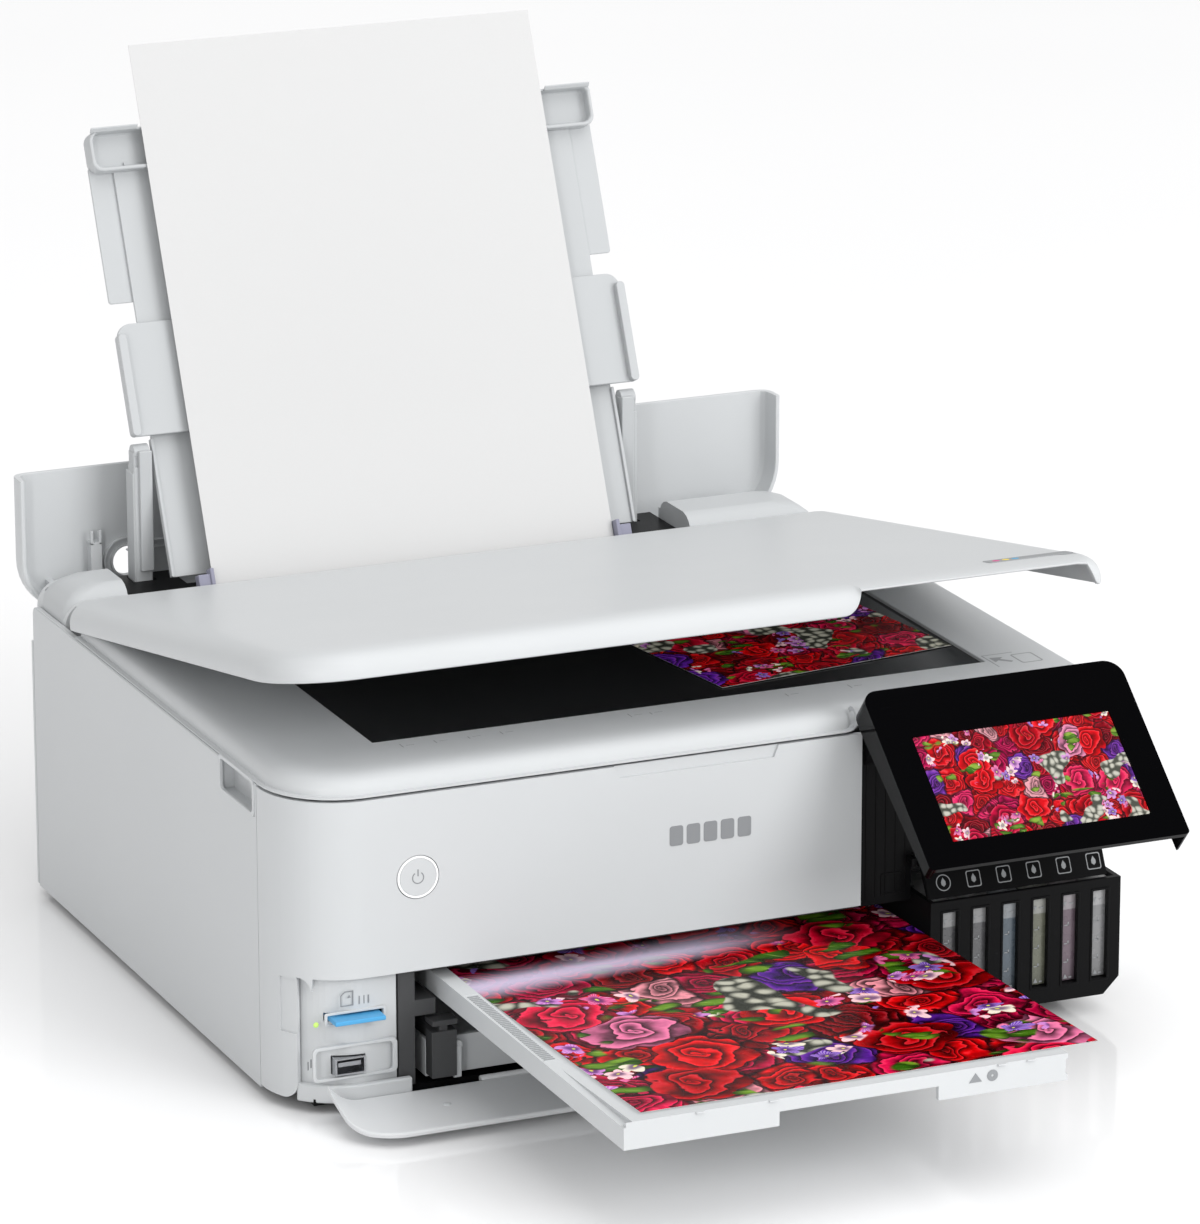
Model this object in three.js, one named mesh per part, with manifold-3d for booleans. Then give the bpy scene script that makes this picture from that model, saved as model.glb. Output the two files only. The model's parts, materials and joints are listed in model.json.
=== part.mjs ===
// A flatbed photo inkjet printer with refillable ink tanks, posed ready to print: the rear feed cover is folded back,
// the paper support is up with a sheet in it, the document lid is ajar, the control panel is tilted out, the front
// flap is down and the output tray is out with a print on it.
// Millimetres, +Z up, the front of the machine faces -Y and +X is on the right of someone who stands in front of it.
// While the parts are made, y = 0 is the face of the white front panel; the finished group is then moved along Y so
// that the origin is at the middle of the footprint, on the table.
import * as THREE from "three";
import { mergeVertices } from "three/addons/utils/BufferGeometryUtils.js";
import Module from "manifold-3d";

const wasm = await Module();
wasm.setup();

// ---- driving dimensions -------------------------------------------------------------------------------------------

const HALF_WIDTH = 201.5;
const WALL = 2.5;
const GAP = 0.4; // between pieces that touch or slide past each other
const SIDE_REAR = 342; // rear edge of the side panels
const CORNER_RADIUS = 36; // front left corner, seen from above
const SIDE_SEAM = 38.8; // where the front panel's corner meets the left side panel
const SEAM_Z = 147; // top of the body, under the scanner unit
const BODY_BOTTOM = 4.5;
const MOUTH_TOP = 63.8; // lower edge of the front panel
const PANEL_RIGHT = 77; // right edge of the white front panel
const TANK_LEFT = 104;
const TANK_FRONT = -17.6;
const TANK_TOP = 66.4;
const TANK_BOTTOM = 9.8;
const TOP_Z = 162; // top of the closed lid and of the closed feed cover

const LID_HINGE = { y: 290, z: 151 };
const LID_ANGLE = 10.4; // degrees open
const LID_REAR = 296;
const SCANNER_REAR = 281;
const BEZEL_Z = 156.8;
const GLASS = { x0: -143, x1: 162, y0: 46, y1: 262 };

const PANEL_PIVOT = { y: -6.6, z: 157.9 };
const PANEL_ANGLE = 49.6; // degrees out from the front of the machine
const PANEL_LEFT = 71;
const PANEL_DEPTH = 11;
const SCREEN = { x0: 87, x1: 186.5, top: 26.3, bottom: 82.5 }; // top and bottom are depths below the panel's top edge

const COVER_HINGE = { y: 357, z: 148 };
const COVER_REACH = 57; // from the hinge to the edge that is at the top when the cover is open
const FEED_CENTRE = -16.5; // middle of the paper, in X
const SLOPE_FOOT = { y: 308, z: 160 }; // a point on the loaded sheet
const SLOPE_ANGLE = 23.6; // degrees that the sheet leans back from upright
const SLOT = { x0: -166, x1: 129 }; // opening of the rear feed between the two shoulders

const A4 = { width: 210, length: 297 };
const LETTER = { width: 216, length: 279 };
const SNAPSHOT = { width: 127, depth: 89, x: 92, y: 114, turn: 8 }; // a small print left on the glass
const PAPER = 0.3;

const TRAY = { x0: -129, x1: 80, y0: -200, y1: 70, bottom: 47.5, top: 61 };
const PRINT_ANGLE = 1.8; // degrees that the output rises towards the front
const PRINT_FRONT = { x: -118.5, y: -194, z: 60.4 };
const FLAP_HINGE = { y: 3, z: 8 };
const FLAP_REACH = 50;
const CASSETTE = { x0: -134, x1: 88, y0: 9, y1: 300, z0: 9.5, z1: 27 };

const TANKS = 6;
const WINDOW = { first: 110.2, pitch: 15.4, width: 7.6, z0: 17.9, z1: 61 };
const INK_TINTS = [0x555558, 0x5d5d60, 0x56646c, 0x6b6d5e, 0x6e5f6b, 0x8c8c8e];

// ---- colours ------------------------------------------------------------------------------------------------------

function finish(color, roughness, metalness = 0) {
  return new THREE.MeshStandardMaterial({ color, roughness, metalness });
}

const WHITE = finish(0xdfe1e3, 0.42);
const BLACK = finish(0x0d0d0f, 0.3);
const GLOSS_BLACK = finish(0x050506, 0.08);
const DARK_GREY = finish(0x3b3c3f, 0.5);
const RUBBER = finish(0x1b1b1c, 0.85);
const STEEL = finish(0x9fa2a6, 0.35, 1);
const PAPER_WHITE = finish(0xf2f3f4, 0.7);
const PRINT = finish(0xb3203f, 0.25);
const CARD_BLUE = finish(0x3f8fc9, 0.4);
const GREEN = finish(0x2f6b3a, 0.6);
const FOAM = finish(0xf0f0f0, 0.9);
const DARK_GLASS = finish(0x101214, 0.05);

// ---- solids -------------------------------------------------------------------------------------------------------

const vec = (x, y, z) => new THREE.Vector3(x, y, z);
const radians = THREE.MathUtils.degToRad;

function toSolid(geometry) {
  const bare = geometry.clone();
  bare.deleteAttribute("normal");
  bare.deleteAttribute("uv");
  const merged = mergeVertices(bare, 1e-4);
  return new wasm.Manifold(new wasm.Mesh({
    numProp: 3,
    vertProperties: Float32Array.from(merged.attributes.position.array),
    triVerts: Uint32Array.from(merged.index.array),
  }));
}

function toGeometry(solid) {
  const mesh = solid.getMesh();
  const geometry = new THREE.BufferGeometry();
  geometry.setAttribute("position", new THREE.BufferAttribute(Float32Array.from(mesh.vertProperties), 3));
  geometry.setIndex(Array.from(mesh.triVerts));
  geometry.computeVertexNormals();
  return geometry;
}

const join = (...pieces) => toGeometry(pieces.map(toSolid).reduce((whole, piece) => whole.add(piece)));

function cut(body, ...tools) {
  return toGeometry(tools.map(toSolid).reduce((left, tool) => left.subtract(tool), toSolid(body)));
}

function box(x0, x1, y0, y1, z0, z1) {
  const geometry = new THREE.BoxGeometry(x1 - x0, y1 - y0, z1 - z0);
  return geometry.translate((x0 + x1) / 2, (y0 + y1) / 2, (z0 + z1) / 2);
}

function outline(points) {
  const shape = new THREE.Shape();
  points.forEach(([u, v], i) => (i ? shape.lineTo(u, v) : shape.moveTo(u, v)));
  shape.closePath();
  return shape;
}

// A rectangle with its own corner radius at lower left, lower right, upper right and upper left.
function roundedRect(x0, y0, x1, y1, radii) {
  const [a, b, c, d] = Array.isArray(radii) ? radii : [radii, radii, radii, radii];
  const corners = [[x1 - b, y0 + b, b], [x1 - c, y1 - c, c], [x0 + d, y1 - d, d], [x0 + a, y0 + a, a]];
  const shape = new THREE.Shape();
  shape.moveTo(x0 + a, y0);
  corners.forEach(([x, y, radius], i) => {
    if (radius) shape.absarc(x, y, radius, ((i - 1) * Math.PI) / 2, (i * Math.PI) / 2, false);
    else shape.lineTo(x, y);
  });
  shape.closePath();
  return shape;
}

// An outline extruded along one axis: along x the outline is in (y, z), along y in (x, z), along z in (x, y).
function prism(axis, shape, from, to, curveSegments = 6) {
  const drawn = Array.isArray(shape) ? outline(shape) : shape;
  const geometry = new THREE.ExtrudeGeometry(drawn, { depth: to - from, bevelEnabled: false, curveSegments });
  if (axis === "z") return geometry.translate(0, 0, from);
  const turn = new THREE.Matrix4();
  if (axis === "x") {
    turn.makeBasis(vec(0, 1, 0), vec(0, 0, 1), vec(1, 0, 0));
    return geometry.applyMatrix4(turn).translate(from, 0, 0);
  }
  turn.makeBasis(vec(1, 0, 0), vec(0, 0, 1), vec(0, -1, 0));
  return geometry.applyMatrix4(turn).translate(0, to, 0);
}

// A round bar along an axis, centred on the two other coordinates (in X, Y, Z order).
function bar(axis, radius, from, to, a, b, sides = 16) {
  const geometry = new THREE.CylinderGeometry(radius, radius, to - from, sides);
  const middle = (from + to) / 2;
  if (axis === "x") return geometry.rotateZ(Math.PI / 2).translate(middle, a, b);
  if (axis === "y") return geometry.translate(a, middle, b);
  return geometry.rotateX(Math.PI / 2).translate(a, b, middle);
}

const ordered = (a, b) => (a < b ? [a, b] : [b, a]);

// ---- the scene graph ----------------------------------------------------------------------------------------------

const printer = new THREE.Group();

function add(name, geometry, material, parent = printer) {
  const mesh = new THREE.Mesh(geometry, material);
  mesh.name = name;
  parent.add(mesh);
  return mesh;
}

// A group whose own origin is a hinge line or a foot, turned about X by an angle that lifts the -Y side.
function turned({ y, z }, degrees) {
  const group = new THREE.Group();
  group.position.set(0, y, z);
  group.rotation.x = -radians(degrees);
  printer.add(group);
  return group;
}

// ---- casing -------------------------------------------------------------------------------------------------------

// Outer skin of the rounded front left corner, as a strip of the given thickness, from a right end round to the seam.
function cornerStrip(right, setBack, thickness, endAngle = Math.PI) {
  const cx = -HALF_WIDTH + CORNER_RADIUS;
  const cy = CORNER_RADIUS;
  const outer = CORNER_RADIUS - setBack;
  const inner = outer - thickness;
  const toSeam = endAngle === Math.PI;
  const shape = new THREE.Shape();
  shape.moveTo(right, setBack);
  shape.absarc(cx, cy, outer, 1.5 * Math.PI, endAngle, true);
  if (toSeam) {
    shape.lineTo(cx - outer, SIDE_SEAM);
    shape.lineTo(cx - inner, SIDE_SEAM);
  }
  shape.absarc(cx, cy, inner, endAngle, 1.5 * Math.PI, false);
  shape.lineTo(right, setBack + thickness);
  shape.closePath();
  return shape;
}

const BUTTON = { x: -140.4, z: 107.6, radius: 9.8 };

function makeFrontPanel() {
  const skin = prism("z", cornerStrip(PANEL_RIGHT, 0, WALL), BODY_BOTTOM + 1.5, SEAM_Z - 0.2, 10);
  const mouth = box(-193, PANEL_RIGHT + 1, -5, 20, 0, MOUTH_TOP);
  const buttonHole = bar("y", BUTTON.radius + GAP, -5, 10, BUTTON.x, BUTTON.z, 24);
  const fingerGroove = box(-46, 36, -1, 1.2, 140.5, SEAM_Z + 1);
  add("front_panel", cut(skin, mouth, buttonHole, fingerGroove), WHITE);
}

function makeSidePanel(side) {
  const span = (a, b) => ordered(side * a, side * b);
  const [x0, x1] = span(HALF_WIDTH, HALF_WIDTH - WALL);
  const front = SIDE_SEAM + GAP;
  const profile = roundedRect(front, BODY_BOTTOM, SIDE_REAR, SEAM_Z, [0, 0, 5, 0]);
  const grip = { y0: front, y1: 85.5, z0: 131, depth: 9 };
  const [g0, g1] = span(HALF_WIDTH, HALF_WIDTH - grip.depth);
  const pocket = box(g0, g1, grip.y0, grip.y1 + 2, grip.z0 - 2, SEAM_Z - 0.5);
  const hollow = box(...span(HALF_WIDTH + 1, HALF_WIDTH - grip.depth + 2), grip.y0 + 2, grip.y1, grip.z0, SEAM_Z + 2);
  const name = side < 0 ? "left_side_panel" : "right_side_panel";
  add(name, cut(join(prism("x", profile, x0, x1), pocket), hollow), WHITE);
}

function makeBase() {
  const x = HALF_WIDTH - WALL - GAP;
  const frontFloor = box(-188, TANK_LEFT - 2, 8, 60, 4, 7);
  const floor = box(-x, x, 46, 344, 4, 7);
  const leftRim = box(-x, -x + 2, SIDE_SEAM + 8, 344, 4, 30);
  const rightRim = box(x - 2, x, 104, 344, 4, 30);
  const rearRim = box(-x, x, 342, 344, 4, 20);
  add("base_tray", join(floor, frontFloor, leftRim, rightRim, rearRim), DARK_GREY);
  const feet = { front_left: [-165, 55], front_right: [165, 60], rear_left: [-165, 320], rear_right: [165, 320] };
  for (const [place, [fx, fy]] of Object.entries(feet)) {
    add(`foot_${place}`, bar("z", 9, 0, 3.7, fx, fy, 20), RUBBER);
  }
}

const INLET = { x: 150, z: 60, width: 26, height: 18 };

function makeRear() {
  const y0 = 344.4;
  const skin = box(-HALF_WIDTH + 0.5, HALF_WIDTH - 0.5, y0, y0 + WALL, BODY_BOTTOM, 128);
  const inletHole = box(INLET.x - INLET.width / 2 - GAP, INLET.x + INLET.width / 2 + GAP, y0 - 1, y0 + 9,
    INLET.z - INLET.height / 2 - GAP, INLET.z + INLET.height / 2 + GAP);
  const coverHole = box(-131, 101, y0 - 1, y0 + 9, 20, 110);
  add("rear_panel", cut(skin, inletHole, coverHole), WHITE);
  const dish = prism("x", roundedRect(y0 - 12, 20.6, y0 + 9, 109.4, [0, 7, 7, 0]), -130.4, 100.4);
  const inside = box(-127.9, 97.9, y0 - 13, y0 + 6.5, 23.1, 106.9);
  add("rear_access_cover", cut(dish, inside), WHITE);
}

// The two shoulders beside the rear feed, joined behind it by a low bridge.
function makeRearFrame() {
  const shoulder = (side, inner) => {
    const outer = side * (HALF_WIDTH - WALL - GAP);
    const shape = new THREE.Shape();
    const radius = 12;
    const top = 158;
    shape.moveTo(inner, 132);
    shape.lineTo(inner, top);
    shape.lineTo(outer - side * radius, top);
    shape.absarc(outer - side * radius, top - radius, radius, Math.PI / 2, side > 0 ? 0 : Math.PI, side > 0);
    shape.lineTo(outer, 132);
    shape.closePath();
    return prism("y", shape, 302.5, 343.5);
  };
  const knuckles = [-1, 1].flatMap((side) => {
    const at = side * 178;
    return [box(at - 3, at + 3, 340, COVER_HINGE.y, COVER_HINGE.z - 3, COVER_HINGE.z + 3),
      bar("x", 2, at - 9, at + 9, COVER_HINGE.y, COVER_HINGE.z)];
  });
  const bridge = box(SLOT.x0 - 1, SLOT.x1 + 1, 338, 343.5, 132, 137);
  const hollows = [box(-195.5, SLOT.x0 - 3, 305, 341, 120, 155.5), box(SLOT.x1 + 3, 195.5, 305, 341, 120, 155.5)];
  add("rear_frame", cut(join(shoulder(-1, SLOT.x0), shoulder(1, SLOT.x1), bridge, ...knuckles), ...hollows), WHITE);
}

// ---- lower front: card slots, flap, cassette ----------------------------------------------------------------------

const CARD_SLOT = { x0: -182.6, x1: -156, z0: 43, z1: 47 };
const USB = { x0: -179.5, x1: -165.1, z0: 18.5, z1: 26.5 };

function makeCardPanel() {
  const skin = prism("z", cornerStrip(-149, 4, 2, 1.16 * Math.PI), 12, MOUTH_TOP - 0.4, 6);
  const slot = box(CARD_SLOT.x0, CARD_SLOT.x1, 0, 20, CARD_SLOT.z0, CARD_SLOT.z1);
  const port = box(USB.x0 - GAP, USB.x1 + GAP, 0, 20, USB.z0 - GAP, USB.z1 + GAP);
  add("card_panel", cut(skin, slot, port), WHITE);
  const cardMiddle = (CARD_SLOT.x0 + CARD_SLOT.x1) / 2;
  add("memory_card", box(cardMiddle - 12, cardMiddle + 12, -3, 26, CARD_SLOT.z0 + 0.9, CARD_SLOT.z0 + 3), CARD_BLUE);
  const shell = box(USB.x0, USB.x1, 2.6, 18, USB.z0, USB.z1);
  const socket = box(USB.x0 + 0.8, USB.x1 - 0.8, 1, 16, USB.z0 + 0.8, USB.z1 - 0.8);
  const tongue = box(USB.x0 + 1.8, USB.x1 - 1.8, 4, 17, USB.z0 + 3.6, USB.z0 + 5.6);
  add("usb_port", join(cut(shell, socket), tongue), STEEL);
}

function makeMouthFrame() {
  const column = box(-148.4, -140.5, 5, 30, 8.5, MOUTH_TOP - 0.4);
  const shelf = box(-141.5, -130.5, 5, 60, 40.5, 48);
  const header = box(-141.5, TANK_LEFT - 0.6, 5, 9, 61.3, MOUTH_TOP - 0.4);
  add("mouth_frame", join(column, shelf, header), DARK_GREY);
}

// The flap follows the rounded corner when shut, so its left end curls up when it lies open.
function makeFlap() {
  const flap = turned(FLAP_HINGE, 0);
  const left = -186.6;
  const right = TANK_LEFT - 1.6;
  const sheet = new THREE.Shape();
  sheet.moveTo(left + 12, -3.2);
  sheet.lineTo(right, -3.2);
  sheet.lineTo(right, -0.8);
  sheet.lineTo(left + 15, -0.8);
  sheet.quadraticCurveTo(left + 7, -0.4, left + 2, 4.5);
  sheet.lineTo(left, 3);
  sheet.quadraticCurveTo(left + 5, -3, left + 12, -3.2);
  const plate = prism("y", sheet, -FLAP_REACH, -3);
  const trim = cut(box(left - 5, left + 24, -FLAP_REACH - 5, -FLAP_REACH + 24, -8, 12),
    bar("z", 24, -9, 13, left + 24, -FLAP_REACH + 24, 40));
  const hinge = bar("x", 2, -110, right - 12, 0, -1.5, 10);
  const arm = join(box(-110, -104, -5, 0, -3.1, -1), box(right - 18, right - 12, -5, 0, -3.1, -1));
  add("front_flap", join(cut(plate, trim), hinge, arm), WHITE, flap);
}

function makeCassette() {
  const { x0, x1, y0, y1, z0, z1 } = CASSETTE;
  const body = box(x0, x1, y0, y1, z0, z1);
  const inside = box(x0 + 2, x1 - 2, y0 + 3, y1 - 2, z0 + 2, z1 + 5);
  const pull = box(-45, 5, y0 - 1, y0 + 8, z1 - 6, z1 + 1);
  add("paper_cassette", cut(body, inside, pull), WHITE);
  const block = box(-134, -122, 1, 8.5, 11, 33);
  const bridge = box(-131.5, -125, 5, 20, 28, 33);
  const fence = box(-131.5, -128, 12.6, 70, z0 + 2.6, 33);
  const lever = join(box(-130, -126, 2, 6, 32, 37), box(-134, -122, 0, 9, 36, 38.5));
  const guide = join(block, bridge, fence, lever);
  add("cassette_guide", guide, DARK_GREY);
}

// ---- output tray --------------------------------------------------------------------------------------------------

function makeOutputTray() {
  const { x0, x1, y0, y1, bottom, top } = TRAY;
  const drop = Math.tan(radians(PRINT_ANGLE));
  const surface = (y) => PRINT_FRONT.z - (y - PRINT_FRONT.y) * drop - PAPER - 0.4;
  const floor = prism("x", [[y0, surface(y0) - 2.5], [y1, surface(y1) - 2.5], [y1, surface(y1)], [y0, surface(y0)]],
    x0 + 4, x1);
  const lip = prism("x", [[y0, bottom], [y0 + 2.5, bottom], [y0 + 2.5, surface(y0) - 1], [y0, surface(y0)]],
    x0 + 1, x1 - 1);
  const rails = [box(x0, x0 + 8, y0, y1, bottom, top - 3.5), box(x1 - 8, x1, y0, y1, bottom, surface(y1) - 1)];
  const notch = box(-57, 18, y0 - 1, y0 + 9, bottom - 1, bottom + 6.5);
  const shape = join(floor, lip, ...rails);
  const belowRail = [box(x0 + 2.5, x0 + 9, y0 + 2.5, y1 + 1, bottom - 1, surface(y1) - 3),
    box(x1 - 9, x1 - 2.5, y0 + 2.5, y1 + 1, bottom - 1, surface(y1) - 3)];
  const aboveRail = prism("x", [[y0 - 1, surface(y0 - 1)], [y1 + 1, surface(y1 + 1)], [y1 + 1, top + 9],
    [y0 - 1, top + 9]], x0 + 8, x1 - 8);
  add("output_tray", cut(shape, notch, ...belowRail, aboveRail), WHITE);
  const slope = turned(PRINT_FRONT, PRINT_ANGLE);
  const { x } = PRINT_FRONT;
  add("tray_print", box(x, x + LETTER.width, 0, LETTER.length, 0, PAPER), PRINT, slope);
}

// ---- ink tanks ----------------------------------------------------------------------------------------------------

function makeTanks() {
  const front = new THREE.Shape();
  front.moveTo(TANK_LEFT, TANK_BOTTOM);
  front.lineTo(HALF_WIDTH - 8, TANK_BOTTOM);
  front.lineTo(HALF_WIDTH, TANK_BOTTOM + 8);
  front.lineTo(HALF_WIDTH, TANK_TOP);
  front.lineTo(TANK_LEFT, TANK_TOP);
  front.closePath();
  const depth = SIDE_SEAM;
  const casing = prism("y", front, TANK_FRONT, depth);
  const inside = box(TANK_LEFT + 2.5, HALF_WIDTH - 2.5, TANK_FRONT + 2.5, depth + 1, TANK_BOTTOM + 8, TANK_TOP + 1);
  const windows = [];
  for (let i = 0; i < TANKS; i += 1) {
    const left = WINDOW.first + i * WINDOW.pitch;
    windows.push(box(left, left + WINDOW.width, TANK_FRONT - 1, TANK_FRONT + 4, WINDOW.z0, WINDOW.z1));
    const middle = left + WINDOW.width / 2;
    const tank = box(middle - 7.3, middle + 7.3, TANK_FRONT + 2.9, 100, TANK_BOTTOM + 8.4, TANK_TOP - 2);
    const neck = bar("z", 4, TANK_TOP - 3, TANK_TOP + 3, middle, -4, 14);
    add(`ink_tank_${i + 1}`, join(tank, neck), finish(INK_TINTS[i], 0.2));
  }
  add("tank_housing", cut(casing, inside, ...windows), BLACK);
}

const TANK_COVER_HINGE = { y: -1.5, z: 82 };

function makeTankCover() {
  const cover = turned(TANK_COVER_HINGE, 0);
  const section = [[-12.7, -15], [-10.2, -15], [-2.6, -2.2], [0, -2.2], [0, 1.5], [-4.6, 1.5]];
  const pin = bar("x", 0.8, 102, 198.4, 0, 0, 10);
  add("tank_cover", join(prism("x", section, TANK_LEFT + 0.6, 196), pin), BLACK, cover);
}

// Black upper right front, behind the control panel, with the two arms that carry it.
function makeFrontHousing() {
  const left = PANEL_RIGHT + GAP;
  const face = box(left, HALF_WIDTH, 2, 4.5, 84.5, SEAM_Z - 0.2);
  const leftFoot = box(left, TANK_LEFT - 0.6, 2, 4.5, 62.4, 86);
  const side = box(HALF_WIDTH - WALL, HALF_WIDTH, 2, SIDE_SEAM, TANK_TOP + 0.4, SEAM_Z - 0.2);
  const arms = [[79, 85], [187, 193]].flatMap(([a, b]) => [
    prism("x", [[2.2, 130], [4.4, 130], [4.4, 137], [-4.5, 146], [-4.5, 157.9], [-8.7, 157.9], [-8.7, 144]], a, b),
    bar("x", 2.1, a, b, PANEL_PIVOT.y, PANEL_PIVOT.z, 16),
    bar("x", 1.6, a - 4, b + 4, PANEL_PIVOT.y, PANEL_PIVOT.z, 12)]);
  const { y, z } = TANK_COVER_HINGE;
  const lugs = [[101, 103.6], [196.8, 199.4]].map(([a, b]) => cut(
    box(a, b, y - 2, 2.5, z - 2, z + 2),
    bar("x", 1.2, a - 1, b + 1, y, z, 10)));
  add("front_housing", join(face, leftFoot, side, ...arms, ...lugs), BLACK);
}

// ---- control panel ------------------------------------------------------------------------------------------------

function makeControlPanel() {
  const panel = turned(PANEL_PIVOT, PANEL_ANGLE);
  const top = TOP_Z + 0.4 - PANEL_PIVOT.z;
  const face = TANK_FRONT - PANEL_PIVOT.y;
  const bottom = top - 95.5;
  const front = roundedRect(PANEL_LEFT, bottom, HALF_WIDTH, top, [2, 2, 9, 7]);
  const hollowFront = roundedRect(PANEL_LEFT + 2.2, bottom - 4, HALF_WIDTH - 2.2, top - 2.2, [0, 0, 1, 1]);
  const shell = prism("y", front, face, face + PANEL_DEPTH + 3, 4);
  const hollow = prism("y", hollowFront, face + 2.6, face + PANEL_DEPTH + 4, 4);
  const back = face + PANEL_DEPTH + 3.1;
  const taper = prism("x", [[back, top - 12], [back, bottom - 1], [face + 7, bottom - 1]],
    PANEL_LEFT - 1, HALF_WIDTH - 20);
  const bezel = box(SCREEN.x0, SCREEN.x1, face - 1, face + 1.2, top - SCREEN.bottom, top - SCREEN.top);
  const bushes = [[75.5, 78.5], [193.6, 196.6]].map(([a, b]) => {
    const block = box(a, b, face + 1, 3, -3, top - 1);
    return cut(block, bar("x", 1.9, a - 1, b + 1, 0, 0, 12));
  });
  add("control_panel", cut(join(cut(shell, hollow), ...bushes), taper, bezel), GLOSS_BLACK, panel);
  const screen = box(SCREEN.x0 + GAP, SCREEN.x1 - GAP, face + 0.1, face + 0.9,
    top - SCREEN.bottom + GAP, top - SCREEN.top - GAP);
  add("panel_screen", screen, PRINT, panel);
}

function makePowerButton() {
  const cap = bar("y", BUTTON.radius, -0.2, 3.4, BUTTON.x, BUTTON.z, 24);
  const stem = bar("y", 3, 3, 9, BUTTON.x, BUTTON.z, 12);
  add("power_button", join(cap, stem), WHITE);
}

// ---- scanner unit and document lid --------------------------------------------------------------------------------

function makeScanner() {
  const skirt = roundedRect(-HALF_WIDTH, 0, HALF_WIDTH, SCANNER_REAR, [CORNER_RADIUS, 0, 0, 0]);
  const rim = prism("z", skirt, SEAM_Z + GAP, SEAM_Z + 1.2, 10);
  const step = roundedRect(-HALF_WIDTH + 3, 3, HALF_WIDTH - 3, SCANNER_REAR, [CORNER_RADIUS - 3, 0, 0, 0]);
  const lower = prism("z", step, SEAM_Z + 0.8, SEAM_Z + 5, 10);
  const crown = roundedRect(-HALF_WIDTH + 7, 7, HALF_WIDTH - 3, SCANNER_REAR, [CORNER_RADIUS - 7, 0, 0, 0]);
  const upper = prism("z", crown, SEAM_Z + 4, BEZEL_Z, 10);
  const tub = box(-190, 190, 40, SCANNER_REAR - 3, 124, SEAM_Z + 2);
  const panelBay = box(PANEL_RIGHT - 1, HALF_WIDTH + 1, -1, 6.5, SEAM_Z - 1, BEZEL_Z + 1);
  const well = box(GLASS.x0 - 8, GLASS.x1 + 8, GLASS.y0 - 3, GLASS.y1 + 10, 126.5, BEZEL_Z - 6.5);
  const window = box(GLASS.x0, GLASS.x1, GLASS.y0, GLASS.y1, 140, BEZEL_Z + 1);
  const ledge = box(GLASS.x0 - 4, GLASS.x1 + 4, GLASS.y0 - 3.5, GLASS.y1 + 4, BEZEL_Z - 5, BEZEL_Z - 1.2);
  const ears = [-171, 171].map((x) => cut(
    join(bar("x", 5, x - 2.5, x + 2.5, LID_HINGE.y, LID_HINGE.z),
      box(x - 2.5, x + 2.5, SCANNER_REAR - 6, LID_HINGE.y, LID_HINGE.z - 5, LID_HINGE.z)),
    bar("x", 2.9, x - 4, x + 4, LID_HINGE.y, LID_HINGE.z)));
  const rail = bar("y", 3, GLASS.y0 - 4, GLASS.y1 + 11, 10, 133, 12);
  const casing = cut(join(rim, lower, upper, tub), panelBay, well, window, ledge);
  add("scanner_base", join(casing, ...ears, rail), WHITE);
  const { x0, x1, y0, y1 } = GLASS;
  add("scanner_glass", box(x0 - 3.4, x1 + 3.4, y0 - 3, y1 + 3.4, BEZEL_Z - 4.6, BEZEL_Z - 1.6), DARK_GLASS);
  const sheet = new THREE.BoxGeometry(SNAPSHOT.width, SNAPSHOT.depth, PAPER);
  const snapshot = add("glass_print", sheet, PRINT);
  snapshot.position.set(SNAPSHOT.x, SNAPSHOT.y, BEZEL_Z - 1.15);
  snapshot.rotation.z = radians(SNAPSHOT.turn);
  const bed = box(x0, x1, y0 + 6, y0 + 24, 137, BEZEL_Z - 7.2);
  const saddle = cut(box(-2, 22, y0 + 4, y0 + 26, 128, 138), bar("y", 3.4, y0, y0 + 30, 10, 133, 12));
  add("scan_carriage", join(bed, saddle), DARK_GREY);
}

function makeHinges() {
  for (const [name, side] of [["scanner_hinge_left", -1], ["scanner_hinge_right", 1]]) {
    const at = side * 178;
    const post = box(at - 3, at + 3, LID_HINGE.y - 4, LID_HINGE.y + 4, 112, LID_HINGE.z);
    const flange = box(at - 12, at + 12, LID_HINGE.y - 4, LID_HINGE.y + 4, 108, 114);
    const eye = bar("x", 4, at - 3, at + 3, LID_HINGE.y, LID_HINGE.z);
    const pin = bar("x", 2.5, at - 12.5, at + 12.5, LID_HINGE.y, LID_HINGE.z);
    add(name, join(post, flange, eye, pin), STEEL);
  }
}

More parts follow.
